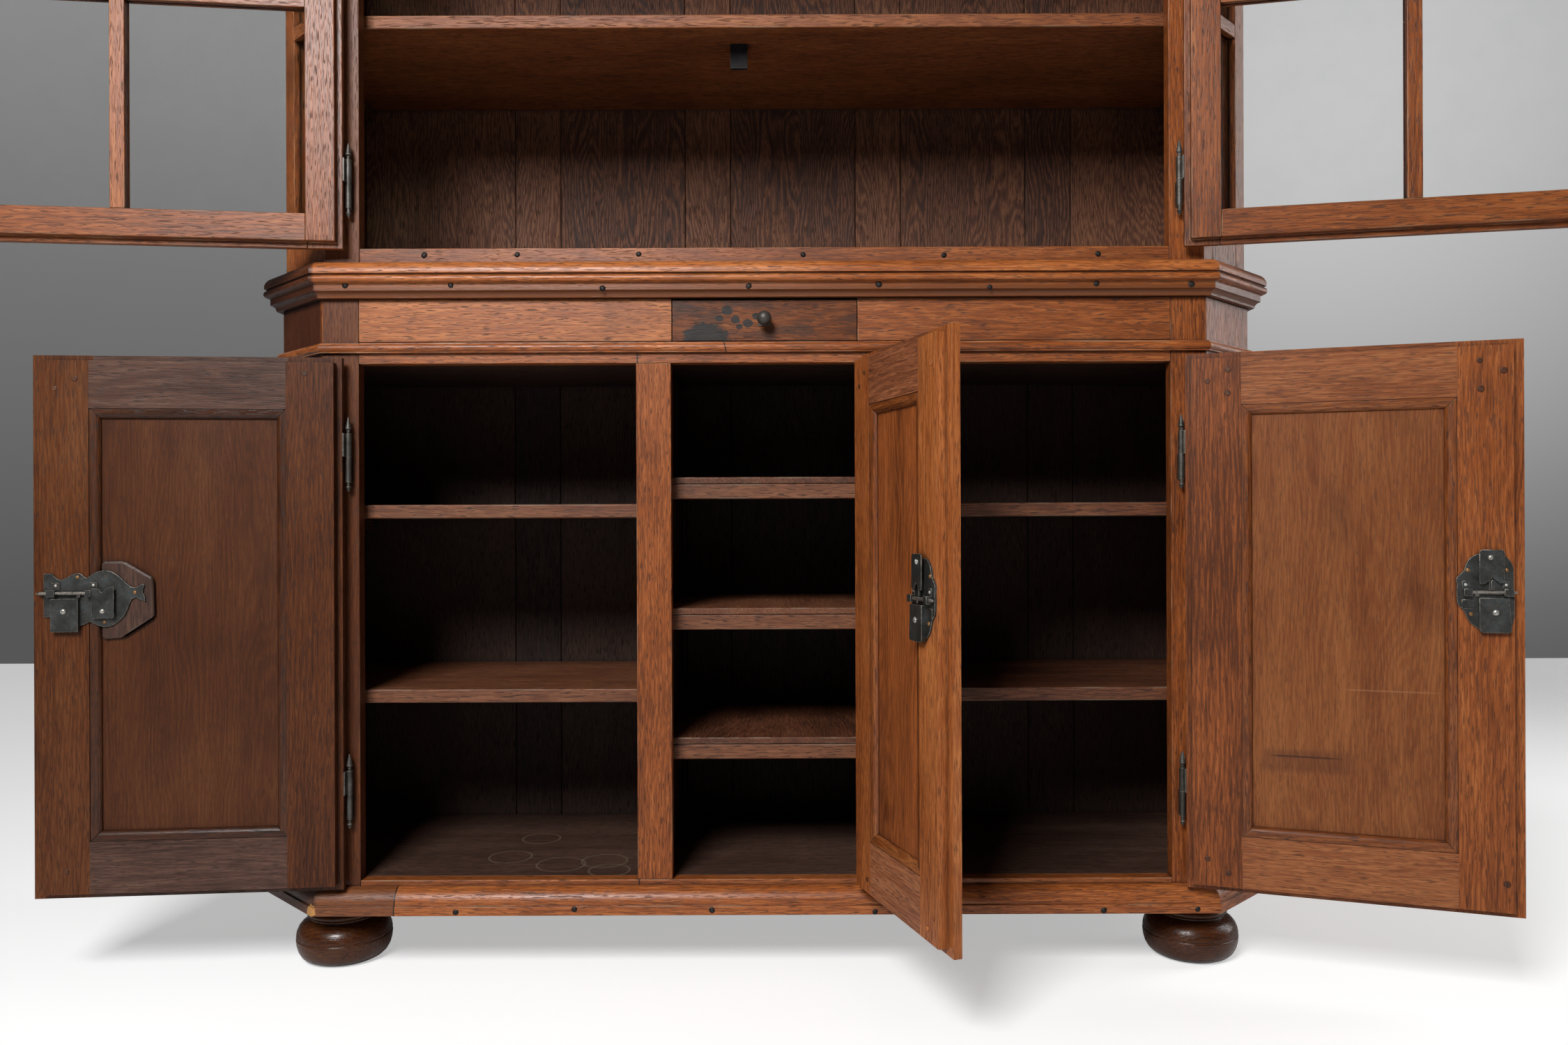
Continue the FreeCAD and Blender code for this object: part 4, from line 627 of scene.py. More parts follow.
def old_glass():
    """Thin drawn glass with a faint film of dust."""
    material, tree, shader = new_material("Drawn glass")
    film = tree.noise(tree.place(), 22.0, 5.0, 0.65)
    tree.feed(shader.inputs["Base Color"], tree.colours(film, (0.4, (0.99, 0.995, 0.99)),
                                                        (0.75, (0.95, 0.96, 0.955))))
    tree.feed(shader.inputs["Roughness"], tree.ramp(film, 0.5, 0.8, 0.0, 0.015))
    shader.inputs["Transmission Weight"].default_value = 1.0
    shader.inputs["IOR"].default_value = 1.02
    return material


# Copies of the CAD nodes with eased edges

def select_only(thing):
    """Selects one object and makes it the active one."""
    bpy.ops.object.select_all(action="DESELECT")
    thing.select_set(True)
    bpy.context.view_layer.objects.active = thing


def weld_each_solid(mesh_edit):
    """Welds the loose triangles of a copied node, one closed solid at a time."""
    home, targets, waiting = {}, {}, set()
    for face in mesh_edit.faces:
        ring = []
        for vertex in face.verts:
            key = tuple(round(part, 6) for part in vertex.co)
            first = home.setdefault(key, vertex)
            if first is not vertex:
                targets[vertex] = first
            ring.append(key)
        for edge in zip(ring, ring[1:] + ring[:1]):
            if edge[::-1] in waiting:
                waiting.remove(edge[::-1])
            else:
                waiting.add(edge)
        if not waiting:
            home = {}
    bmesh.ops.weld_verts(mesh_edit, targetmap=targets)


def islands(mesh):
    """Lists of vertex numbers, one list for each separate solid."""
    parent = list(range(len(mesh.vertices)))

    def root(i):
        while parent[i] != i:
            parent[i] = parent[parent[i]]
            i = parent[i]
        return i

    for edge in mesh.edges:
        parent[root(edge.vertices[0])] = root(edge.vertices[1])
    groups = {}
    for i in range(len(parent)):
        groups.setdefault(root(i), []).append(i)
    return list(groups.values())


def lay_grain(piece, turns, seed):
    """Gives each board its own grain, along its longest side, and its own tone."""
    mesh = piece.data
    mesh.attributes.new("grain", "FLOAT_VECTOR", "POINT")
    mesh.attributes.new("tone", "FLOAT", "POINT")
    grain, tone = mesh.attributes["grain"], mesh.attributes["tone"]
    draw = random.Random(seed)
    for group in islands(mesh):
        best = None
        for turn in turns:
            back = Matrix.Rotation(-turn, 3, "Z")
            points = [back @ mesh.vertices[i].co for i in group]
            spans = [max(p[k] for p in points) - min(p[k] for p in points) for k in range(3)]
            if best is None or spans[0] * spans[1] < best[0]:
                best = (spans[0] * spans[1], spans, points)
        spans, points = best[1:]
        along = spans.index(max(spans))
        order = ((along + 1) % 3, (along + 2) % 3, along)
        shift = Vector([draw.uniform(-3, 3) for _ in range(3)])
        shade = draw.uniform(-0.5, 0.5)
        for i, point in zip(group, points):
            grain.data[i].vector = Vector([point[k] for k in order]) + shift
            tone.data[i].value = shade


def ease_edges(piece, width, finish, segments=2):
    """Rounds the sharp edges and notes the rounded faces in an attribute."""
    mesh = piece.data
    mesh.materials.clear()
    mesh.materials.append(finish)
    mesh.materials.append(finish)
    select_only(piece)
    bevel = piece.modifiers.new("Eased", "BEVEL")
    bevel.width = width
    bevel.segments = segments
    bevel.limit_method = "ANGLE"
    bevel.angle_limit = SHARP
    bevel.harden_normals = True
    bevel.material = 1
    bpy.ops.object.modifier_apply(modifier=bevel.name)
    edge = mesh.attributes.new("edge", "FLOAT", "FACE")
    for face in mesh.polygons:
        edge.data[face.index].value = float(face.material_index)
        face.material_index = 0
    mesh.materials.pop(index=1)


def eased_copy(node, ease, finish, turns=SQUARE):
    """Copies a node, rounds its edges and lays its grain."""
    select_only(frame["nodes"][node])
    bpy.ops.object.duplicate()
    piece = bpy.context.view_layer.objects.active
    body = piece["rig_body"]
    for key in list(piece.keys()):
        del piece[key]
    piece.name = piece.data.name = node + "_eased"
    bpy.ops.object.mode_set(mode="EDIT")
    weld_each_solid(bmesh.from_edit_mesh(piece.data))
    bmesh.update_edit_mesh(piece.data)
    bpy.ops.mesh.customdata_custom_splitnormals_clear()
    bpy.ops.mesh.select_all(action="SELECT")
    bpy.ops.mesh.dissolve_limited(angle_limit=FLAT)
    bpy.ops.mesh.faces_shade_smooth()
    bpy.ops.object.mode_set(mode="OBJECT")
    ease_edges(piece, ease, finish)
    lay_grain(piece, turns, node + BOARD_RUN)
    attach(piece, body)
    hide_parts(node)


# Pieces modelled here

def smooth_outline(points, steps=4):
    """Points on a closed curve through the given ones, kept sharp at those with a third number."""
    count, outline = len(points), []
    for i in range(count):
        start, end = points[i], points[(i + 1) % count]
        before = start if len(start) > 2 else points[i - 1]
        after = end if len(end) > 2 else points[(i + 2) % count]
        straight = len(start) > 2 and len(end) > 2
        for step in range(1 if straight else steps):
            t = step / steps
            outline.append(tuple(
                0.5 * (2 * b + (c - a) * t + (2 * a - 5 * b + 4 * c - d) * t * t
                       + (3 * b - a - 3 * c + d) * t ** 3)
                for a, b, c, d in zip(before[:2], start[:2], end[:2], after[:2])))
    return outline


def thicken(depth):
    """Gives the flat mesh in edit mode its thickness, turns its faces outwards and leaves edit mode."""
    bpy.ops.mesh.select_all(action="SELECT")
    bpy.ops.mesh.extrude_region_move(TRANSFORM_OT_translate={"value": (0, 0, depth * MM)})
    bpy.ops.mesh.select_all(action="SELECT")
    bpy.ops.mesh.normals_make_consistent(inside=False)
    bpy.ops.object.mode_set(mode="OBJECT")


def add_plate(outline, low, high):
    """A flat plate with the given outline, between two heights."""
    bpy.ops.object.select_all(action="DESELECT")
    bpy.ops.mesh.primitive_circle_add(vertices=len(outline), fill_type="NGON", enter_editmode=True)
    piece = bpy.context.object
    mesh_edit = bmesh.from_edit_mesh(piece.data)
    for vertex, (x, y) in zip(mesh_edit.verts, outline):
        vertex.co = (x * MM, y * MM, low * MM)
    bmesh.update_edit_mesh(piece.data)
    thicken(high - low)
    return piece


def add_bar(x0, x1, y0, y1, low, high):
    """A square bar between two places along each axis."""
    return add_plate(((x0, y0), (x1, y0), (x1, y1), (x0, y1)), low, high)


def add_rod(start, end, radius, end_radius):
    """A round rod, or one drawn to a point."""
    start, end = Vector(start) * MM, Vector(end) * MM
    turn = (end - start).to_track_quat("Z", "Y").to_euler()
    bpy.ops.object.select_all(action="DESELECT")
    bpy.ops.mesh.primitive_cone_add(vertices=12, radius1=radius * MM, radius2=end_radius * MM,
                                    depth=(end - start).length, location=(start + end) / 2, rotation=turn)
    bpy.ops.object.transform_apply(location=True, rotation=True, scale=True)
    return bpy.context.object


def add_bridge(near, far, low):
    """A bridge over the bolt: its section stands across the bolt and runs along it."""
    half, roof, wall = BRIDGE_HALF, low + BRIDGE_ROOF, BRIDGE_WALL
    section = ((-half - wall, low), (-half, low), (-half, roof), (half, roof), (half, low),
               (half + wall, low), (half + wall, roof + wall), (-half - wall, roof + wall))
    piece = add_plate(section, near, far)
    piece.data.transform(ON_EDGE)
    return piece


def join(parts, name):
    """Joins pieces into the first of them and names it."""
    select_only(parts[0])
    for part in parts:
        part.select_set(True)
    if len(parts) > 1:
        bpy.ops.object.join()
    piece = bpy.context.view_layer.objects.active
    piece.name = piece.data.name = name
    return piece


def copies(master, places, name):
    """Copies a small piece to each place, joins the copies and takes the first one away."""
    parts = []
    for place in places:
        part = bpy.data.objects.new(name, master.data.copy())
        part.data.transform(place)
        bpy.context.scene.collection.objects.link(part)
        parts.append(part)
    bpy.data.objects.remove(master)
    return join(parts, name)


def at(x, y, z, size, turn):
    """A place for a copy of a piece of unit size."""
    place = Matrix.Translation((x * MM, y * MM, z * MM))
    return place @ Matrix.Rotation(turn, 4, "Z") @ Matrix.Scale(size, 4)


def turned_piece(profile):
    """A piece turned about Z, from (radius, height) pairs that rise."""
    blank = 0.05
    low, high = profile[0][1] * MM, profile[-1][1] * MM
    radius_at = {round(height * MM, 5): radius * MM for radius, height in profile}
    bpy.ops.object.select_all(action="DESELECT")
    bpy.ops.mesh.primitive_cylinder_add(vertices=56, radius=blank, depth=high - low,
                                        location=(0, 0, (low + high) / 2))
    bpy.ops.object.transform_apply(location=True, rotation=False, scale=False)
    bpy.ops.object.mode_set(mode="EDIT")
    for height in list(radius_at)[1:-1]:
        bpy.ops.mesh.select_all(action="SELECT")
        bpy.ops.mesh.bisect(plane_co=(0, 0, height), plane_no=(0, 0, 1))
    piece = bpy.context.object
    mesh_edit = bmesh.from_edit_mesh(piece.data)
    for vertex in mesh_edit.verts:
        swell = radius_at[round(vertex.co.z, 5)] / blank
        vertex.co.x *= swell
        vertex.co.y *= swell
    bmesh.update_edit_mesh(piece.data)
    bpy.ops.mesh.select_all(action="SELECT")
    bpy.ops.mesh.faces_shade_smooth()
    bpy.ops.object.mode_set(mode="OBJECT")
    return piece


def slotted_head():
    """A domed screw head of unit radius with a slot."""
    dome = 0.6
    slot_floor = 0.3
    slot_half = 0.14
    slot_lip = 0.24
    bpy.ops.object.select_all(action="DESELECT")
    bpy.ops.mesh.primitive_uv_sphere_add(segments=16, ring_count=10, radius=1.0, enter_editmode=True)
    bpy.ops.mesh.select_all(action="SELECT")
    bpy.ops.mesh.bisect(plane_co=(0, 0, 0), plane_no=(0, 0, 1), use_fill=True, clear_inner=True)
    bpy.ops.mesh.select_all(action="SELECT")
    bpy.ops.transform.resize(value=(1, 1, dome), center_override=(0, 0, 0))
    for offset in (-slot_lip, -slot_half, slot_half, slot_lip):
        bpy.ops.mesh.select_all(action="SELECT")
        bpy.ops.mesh.bisect(plane_co=(offset, 0, 0), plane_no=(1, 0, 0))
    piece = bpy.context.object
    mesh_edit = bmesh.from_edit_mesh(piece.data)
    for vertex in mesh_edit.verts:
        if abs(vertex.co.x) < slot_half + 0.01 and vertex.co.z > slot_floor:
            vertex.co.z = slot_floor
    bmesh.update_edit_mesh(piece.data)
    bpy.ops.object.mode_set(mode="OBJECT")
    return piece


def forged_head():
    """A hammered nail head of unit radius, standing on its flat side."""
    height = 0.4
    bpy.ops.object.select_all(action="DESELECT")
    bpy.ops.mesh.primitive_cone_add(vertices=7, radius1=1.0, radius2=0.45, depth=height,
                                    location=(0, 0, height / 2), enter_editmode=True)
    mesh_edit = bmesh.from_edit_mesh(bpy.context.object.data)
    draw = random.Random("nail")
    for vertex in mesh_edit.verts:
        vertex.co *= draw.uniform(0.86, 1.1)
    bmesh.update_edit_mesh(bpy.context.object.data)
    bpy.ops.mesh.select_all(action="SELECT")
    bpy.ops.mesh.bevel(offset=0.12, segments=2, affect="EDGES")
    bpy.ops.object.mode_set(mode="OBJECT")
    bpy.ops.object.transform_apply(location=True, rotation=True, scale=True)
    return bpy.context.object


def trimmed_peg():
    """A riven peg of unit radius, trimmed a little proud of the wood."""
    bpy.ops.object.select_all(action="DESELECT")
    bpy.ops.mesh.primitive_cylinder_add(vertices=9, radius=1.0, depth=0.4, enter_editmode=True)
    mesh_edit = bmesh.from_edit_mesh(bpy.context.object.data)
    draw = random.Random("peg")
    for vertex in mesh_edit.verts:
        swell = draw.uniform(0.9, 1.05)
        vertex.co.x *= swell
        vertex.co.y *= swell
        vertex.select_set(vertex.co.z > 0)
    mesh_edit.select_flush_mode()
    bmesh.update_edit_mesh(bpy.context.object.data)
    bpy.ops.mesh.inset(thickness=0.2)
    bpy.ops.transform.translate(value=(0, 0, 0.08))
    bpy.ops.object.mode_set(mode="OBJECT")
    return bpy.context.object


def hinge_of(door):
    """The joint that a door hangs on."""
    return next(joint for joint in frame["joints"] if joint["name"] == door + "_hinge")


def door_turn(door):
    """The angle that a door stands open at, as a turn about Z."""
    joint = hinge_of(door)
    return joint["axis"][2] * math.radians(-joint["range_deg"][0])


def on_door(door):
    """From millimetres off the free edge, off the lock height and off the inner face, to the room."""
    joint = hinge_of(door)
    side = -joint["axis"][2]
    turn = Matrix.Rotation(door_turn(door), 3, "Z")
    across = turn @ Vector((-side, 0, 0))
    out = turn @ Vector((0, 1, 0))
    corner = turn @ Vector((side * FREE_EDGE[door] * MM, INNER_FACE * MM, 0)) + Vector(joint["pos_m"])
    corner.z = LOCK_HEIGHT * MM
    place = Matrix((across, (0, 0, 1), out)).transposed().to_4x4()
    place.translation = corner
    return place


def hang(piece, door, body=None):
    """Moves a piece modelled flat onto the inner face of its door."""
    place = on_door(door)
    piece.data.transform(place)
    if place.determinant() < 0:
        piece.data.flip_normals()
    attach(piece, body or door)


def key_plate(door):
    """The plate round the keyhole on the outer face."""
    rings = []
    for outline in (smooth_outline(KEY_PLATE), smooth_outline(KEYHOLE)):
        bpy.ops.object.select_all(action="DESELECT")
        bpy.ops.mesh.primitive_circle_add(vertices=len(outline), fill_type="NOTHING")
        ring = bpy.context.object
        for vertex, (x, y) in zip(ring.data.vertices, outline):
            vertex.co = ((KEYHOLE_PLACE[door] + x) * MM, y * MM, -INNER_FACE * MM)
        rings.append(ring)
    piece = join(rings, door + "_key_plate")
    bpy.ops.object.mode_set(mode="EDIT")
    bpy.ops.mesh.select_all(action="SELECT")
    bpy.ops.mesh.bridge_edge_loops()
    thicken(-KEY_PLATE_THICK)
    return piece


# One step for each group of pieces

class CABINET_OT_finishes(bpy.types.Operator):
    """Mixes the oak, iron and glass that the pieces are finished with"""
    bl_idname = "cabinet.finishes"
    bl_label = "Finishes"

    def execute(self, context):
        GROUPS["grain"] = oak_grain_group()
        GROUPS["rubbed"] = rubbed_group()
        FINISHES.update(
            front=oak("Waxed oak of the front", light=0.88, marks=dark_cant),
            rails=oak("Waxed oak of the rails", light=0.84, marks=rail_joint),
            moulding=oak("Waxed oak of the mouldings", rough=0.34, marks=dull_fascia),
            string=oak("Waxed oak of the string", rough=0.34, marks=string_crack),
            base=oak("Waxed oak of the base", light=0.95, rough=0.34, marks=base_repair),
            # The posts carry painted shade on the left
            posts=oak("Waxed oak of the posts", light=0.84, shine=0.26, marks=painted_shade_left_post),
            vitrine=oak("Waxed oak of the vitrine", light=0.76, figure=0.8),
            inside=oak("Dry oak of the vitrine boards", light=0.31, grey=0.12, figure=2.4, rough=0.72,
                       worn=0.3, rings=0.5, marks=dusty_back),
            hollow=oak("Dark oak of the lower boards", light=0.11, grey=0.25, figure=1.6, rough=0.7, worn=0.2,
                       marks=dusty_back),
            floor=oak("Worn oak of the floor", light=0.21, grey=0.36, figure=1.8, rough=0.6, worn=0.4,
                      marks=ring_stains),
            shelf=oak("Oak of the lower shelves", light=0.44, grey=0.12, figure=1.4, rough=0.5, worn=0.9),
            vitrine_shelf=oak("Oak of the vitrine shelves", light=0.57, figure=1.4, rough=0.55, worn=0.9),
            feet=oak("Dark oak of the feet", light=0.2, figure=0.5, rough=0.26, worn=0.3),
            drawer=oak("Stained oak of the drawer", light=0.5, shine=0.24, marks=drawer_stains),
            block=oak("Smoky oak of the lock block", light=0.22, grey=0.3, rough=0.45),
            peg=oak("Dark oak pegs", light=0.25, rough=0.45),
            pale_peg=oak("New oak pegs", light=1.15, rough=0.5),
            iron=old_iron("Forged iron", colour=(0.085, 0.077, 0.066)),
            nail=old_iron("Forged nails", colour=(0.022, 0.019, 0.017), rough=0.55, edges=0.25),
            black=old_iron("Black strap iron", colour=(0.01, 0.009, 0.009), rough=0.7, edges=0.1),
            lock=old_iron("Blued lock iron", colour=(0.056, 0.058, 0.054), rough=0.4, edges=0.9),
            steel=old_iron("Bright screws", colour=(0.4, 0.38, 0.34), rough=0.34),
            brass=old_iron("Brass screws", colour=(0.34, 0.17, 0.06), rough=0.38),
            glass=old_glass())
        for door, look in DOOR_OAK.items():
            label = door.replace("_", " ")
            stiles, shine = look["stiles"], look["shine"]
            FINISHES[door] = oak("Oak of the " + label, light=stiles, figure=1.1, pores=0.6, shine=shine)
            # The grey of the rails is painted sheen
            FINISHES[door + "_rail"] = oak("Rails of the " + label, light=look["rails"], grey=look["grey"],
                                           pores=0.6, shine=shine)
            FINISHES[door + "_strip"] = oak("Strips of the " + label, light=0.7 * stiles, rough=0.34)
            FINISHES[door + "_panel"] = oak(
                "Panel of the " + label, light=look["panel"], figure=1.6, rough=0.44, rings=0.14, streaks=0.8,
                pores=0.35, shine=shine, marks=scratches if door == "right_door" else None)
        return {"FINISHED"}


class CABINET_OT_carcass(bpy.types.Operator):
    """Posts, rails, boards and shelves of both parts, with eased edges and grain along each board"""
    bl_idname = "cabinet.carcass"
    bl_label = "Carcass"

    def execute(self, context):
        ease = context.scene.cabinet_sizes.ease
        eased_copy("lower_side_boards", ease, FINISHES["front"], CANTS)
        for node in ("lower_posts", "vitrine_posts"):
            eased_copy(node, ease, FINISHES["posts"], CANTS)
        eased_copy("lower_rails", ease, FINISHES["rails"], CANTS)
        for node in ("vitrine_rails", "vitrine_side_boards", "corner_light_frames"):
            eased_copy(node, ease, FINISHES["vitrine"], CANTS)
        for node in ("waist_board", "vitrine_boards", "vitrine_back_boards", "shelf_bearers"):
            eased_copy(node, 2 * ease, FINISHES["inside"])
        for node in ("partitions", "lower_back_boards", "drawer_deck"):
            eased_copy(node, 2 * ease, FINISHES["hollow"])
        eased_copy("lower_floor", ease, FINISHES["floor"])
        eased_copy("lower_shelves", 1.6 * ease, FINISHES["shelf"])
        eased_copy("vitrine_shelves", 1.6 * ease, FINISHES["vitrine_shelf"])
        return {"FINISHED"}


class CABINET_OT_mouldings(bpy.types.Operator):
    """Base, string and waist mouldings and the cornice"""
    bl_idname = "cabinet.mouldings"
    bl_label = "Mouldings"

    def execute(self, context):
        ease = context.scene.cabinet_sizes.moulding_ease
        for node, finish in (("base_moulding", "base"), ("string_moulding", "string"),
                             ("waist_moulding", "moulding"), ("cornice", "moulding")):
            eased_copy(node, ease, FINISHES[finish], CANTS)
        return {"FINISHED"}


class CABINET_OT_feet(bpy.types.Operator):
    """Turned bun feet with a ring under the collar and a line round the belly"""
    bl_idname = "cabinet.feet"
    bl_label = "Bun feet"

    def execute(self, context):
        places = [Matrix.Translation((x * MM, y * MM, 0.0)) for x in FOOT_X for y in FOOT_Y]
        feet = copies(turned_piece(FOOT_PROFILE), places, "turned_feet")
        ease_edges(feet, context.scene.cabinet_sizes.moulding_ease, FINISHES["feet"])
        lay_grain(feet, SQUARE, feet.name)
        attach(feet, "carcass")
        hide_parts("bun_feet")
        return {"FINISHED"}


class CABINET_OT_doors(bpy.types.Operator):
    """Frames, panels, strips and glazing bars of the five doors"""
    bl_idname = "cabinet.doors"
    bl_label = "Doors"

    def execute(self, context):
        sizes = context.scene.cabinet_sizes
        for door in DOORS:
            turns = (door_turn(door),)
            eased_copy(door + "_stiles", sizes.ease, FINISHES[door], turns)
            eased_copy(door + "_rails", sizes.ease, FINISHES[door + "_rail"], turns)
            eased_copy(door + "_panel", sizes.ease, FINISHES[door + "_panel"], turns)
            eased_copy(door + "_moulding", sizes.moulding_ease, FINISHES[door + "_strip"], turns)
        for door in UPPER_DOORS:
            turns = (door_turn(door),)
            for what in ("_stiles", "_rails", "_glazing_bars"):
                eased_copy(door + what, sizes.ease, FINISHES["vitrine"], turns)
        return {"FINISHED"}


class CABINET_OT_drawer(bpy.types.Operator):
    """Drawer with its stained front and faceted iron knob"""
    bl_idname = "cabinet.drawer"
    bl_label = "Drawer"

    def execute(self, context):
        sizes = context.scene.cabinet_sizes
        eased_copy("drawer_front", sizes.ease, FINISHES["drawer"])
        eased_copy("drawer_box", sizes.ease, FINISHES["inside"])
        eased_copy("drawer_knob", sizes.iron_ease, FINISHES["iron"])
        return {"FINISHED"}


class CABINET_OT_hinges(bpy.types.Operator):
    """Hinge leaves on the doors and barrels on the frame"""
    bl_idname = "cabinet.hinges"
    bl_label = "Hinges"

    def execute(self, context):
        ease = context.scene.cabinet_sizes.iron_ease
        for node in ["frame_hinges"] + [door + "_hinges" for door in DOORS + UPPER_DOORS]:
            eased_copy(node, ease, FINISHES["iron"])
        return {"FINISHED"}


class CABINET_OT_locks(bpy.types.Operator):
    """A fish-shaped lock on the left door and bow locks on the others, with bolts and keyhole plates"""
    bl_idname = "cabinet.locks"
    bl_label = "Locks"

    def execute(self, context):
        self.sizes = context.scene.cabinet_sizes
        self.top = self.sizes.lock_plate / MM
        self.lock_block()
        self.lock("left_door", FISH_LOCK)
        self.lock("right_door", BOW_LOCK)
        self.lock("middle_door", BOW_LOCK, mirrored=True)
        return {"FINISHED"}

    def lock_block(self):
        """The wooden block under the tail of the fish-shaped plate."""
        block = add_plate(smooth_outline(LOCK_BLOCK), -PANEL_SINK, -BLOCK_CLEAR)
        block.name = block.data.name = "left_door_lock_block_cut"
        ease_edges(block, BLOCK_BEVEL * MM, FINISHES["block"], 1)
        lay_grain(block, SQUARE, block.name)
        hang(block, "left_door")
        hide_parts("left_door_lock_block")

    def lock(self, door, shape, mirrored=False):
        """Makes one lock. A mirrored one has its plates and fittings the other way round."""
        top = self.top

        def across(number):
            return BOW_WIDTH - number if mirrored else number

        def span(ends):
            return sorted(across(end) for end in ends)

        def plate(points, low, high):
            if mirrored:
                points = [(across(point[0]), *point[1:]) for point in reversed(points)]
            return add_plate(smooth_outline(points), low, high)

        def spots(table):
            return [(across(x), y, top + rise, radius) for x, y, rise, radius in table]

        post_x, post_y, post_rise = shape["post"]
        parts = [plate(shape["plate"], 0, top),
                 plate(shape["cover"], top + shape["cover_low"], top + shape["cover_top"]),
                 plate(shape["case"], top, top + shape["case_top"]),
                 add_rod((across(post_x), post_y, top), (across(post_x), post_y, top + post_rise),
                         POST_RADIUS, POST_RADIUS)]
        for near, far, low, high, bottom, rise in shape["bars"]:
            parts.append(add_bar(*span((near, far)), low, high, top + bottom, top + rise))
        parts += [add_bridge(*span(ends), top) for ends in shape["bridges"]]
        parts += [add_bar(*span(ends), *BRIDGE_FOOT, top, top + BRIDGE_FOOT_THICK) for ends in shape["feet"]]
        parts.append(key_plate(door))
        self.plates(door, parts)
        self.keyhole(door)
        self.screws(door, spots(shape["screws"]), spots(shape["pins"]))
        self.bolt(door, shape["bolt"])

    def plates(self, door, parts):
        """Joins the fixed iron of a lock."""
        piece = join(parts, door + "_lock_plates")
        ease_edges(piece, self.sizes.iron_ease, FINISHES["lock"])
        hang(piece, door)
        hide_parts(door + "_lock")

    def keyhole(self, door):
        """A dark filling in the keyhole plate: painted shade where the hole runs deep into the door."""
        hole = add_plate(smooth_outline(KEYHOLE), -INNER_FACE - KEYHOLE_SHADE_OUT, -INNER_FACE + KEYHOLE_SHADE_DEEP)
        hole.data.transform(Matrix.Translation((KEYHOLE_PLACE[door] * MM, 0, 0)))
        hole.name = hole.data.name = door + "_keyhole"
        ease_edges(hole, KEYHOLE_SHADE_EASE * MM, FINISHES["hollow"])
        lay_grain(hole, SQUARE, hole.name)
        hang(hole, door)

    def screws(self, door, bright, brass):
        """Bright screws and brass pins, each with its slot turned its own way."""
        draw = random.Random(door + "screws")
        for name, spots, finish in (("_lock_screws", bright, "steel"), ("_lock_pins", brass, "brass")):
            places = [at(x, y, z, radius * MM, draw.uniform(0, math.pi)) for x, y, z, radius in spots]
            screws = copies(slotted_head(), places, door + name)
            ease_edges(screws, SCREW_EASE * MM, FINISHES[finish])
            hang(screws, door)

    def bolt(self, door, far):
        """The bolt, drawn back, with a taper at its tip and a catch for the key."""
        middle = self.top + BOLT_RISE
        thick, neck, tip = BOLT_RADII
        catch = [far - end for end in CATCH_ENDS]
        bolt = join([add_rod((far, 0, middle), (BOLT_TAPER, 0, middle), thick, neck),
                     add_rod((BOLT_TAPER, 0, middle), (BOLT_TIP, 0, middle), neck, tip),
                     add_bar(*catch, *CATCH_SIDES, middle - 1, middle + 1)],
                    door + "_lock_bolt_drawn")
        ease_edges(bolt, self.sizes.iron_ease, FINISHES["iron"])
        hang(bolt, door, door + "_bolt")
        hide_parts(door + "_lock_bolt")


class CABINET_OT_pegs(bpy.types.Operator):
    """Pegs in the corner joints of the lower doors"""
    bl_idname = "cabinet.pegs"
    bl_label = "Pegs"

    def execute(self, context):
        radius = context.scene.cabinet_sizes.peg
        for label, finish, table in (("_pegs", "peg", PEGS), ("_pale_pegs", "pale_peg", PALE_PEGS)):
            for door, spots in table.items():
                draw = random.Random(door + label)
                places = [at(FREE_EDGE[door] - u, z - LOCK_HEIGHT, 0, radius * draw.uniform(*HAND_SIZE),
                             draw.uniform(0, HAND_TURN)) for u, z in spots]
                pegs = copies(trimmed_peg(), places, door + label)
                ease_edges(pegs, PEG_EASE * MM, FINISHES[finish])
                lay_grain(pegs, SQUARE, pegs.name)
                hang(pegs, door)
        return {"FINISHED"}


class CABINET_OT_nails(bpy.types.Operator):
    """Forged nail heads along the base, the waist and the sill"""
    bl_idname = "cabinet.nails"
    bl_label = "Nails"

    def execute(self, context):
        rows = self.rows()
        if len(rows) != len(NAIL_ROWS):
            raise RuntimeError("the nails no longer stand in three rows")
        draw = random.Random("nails")
        radius = context.scene.cabinet_sizes.nail
        upright = Matrix.Rotation(math.radians(90), 4, "X")
        places = []
        for (height, front), spots in zip(rows, NAIL_ROWS):
            for x in spots:
                wander = draw.uniform(-NAIL_WANDER, NAIL_WANDER)
                spot = Matrix.Translation((x * MM, front + NAIL_SINK * MM, height + wander * MM))
                size = radius * draw.uniform(*HAND_SIZE)
                places.append(spot @ upright @ at(0, 0, 0, size, draw.uniform(0, HAND_TURN)))
        nails = copies(forged_head(), places, "nail_heads")
        ease_edges(nails, NAIL_EASE * MM, FINISHES["nail"])
        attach(nails, "carcass")
        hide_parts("nails")
        return {"FINISHED"}

    def rows(self):
        """The height and the front of each row of CAD nails, from the lowest up."""
        corners = [vertex.co for vertex in frame["nodes"]["nails"].data.vertices]
        found = []
        for height in sorted({round(corner.z, 2) for corner in corners}):
            row = [corner for corner in corners if abs(corner.z - height) < ROW_REACH * MM]
            middle = (min(c.z for c in row) + max(c.z for c in row)) / 2
            if not found or middle - found[-1][0] > ROW_GAP * MM:
                found.append((middle, min(c.y for c in row)))
        return found


class CABINET_OT_bracket(bpy.types.Operator):
    """Bent iron strap under the lower shelf of the vitrine"""
    bl_idname = "cabinet.bracket"
    bl_label = "Shelf strap"

    def execute(self, context):
        under = min(corner.co.z for corner in frame["nodes"]["vitrine_shelves"].data.vertices)
        strap = add_plate(STRAP_SIDE, -STRAP_HALF, STRAP_HALF)
        strap.data.transform(Matrix.Translation((STRAP_X * MM, STRAP_Y * MM, under)) @ ON_EDGE)
        strap.name = strap.data.name = "shelf_strap"
        ease_edges(strap, STRAP_EASE * MM, FINISHES["black"])
        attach(strap, "carcass")
        return {"FINISHED"}


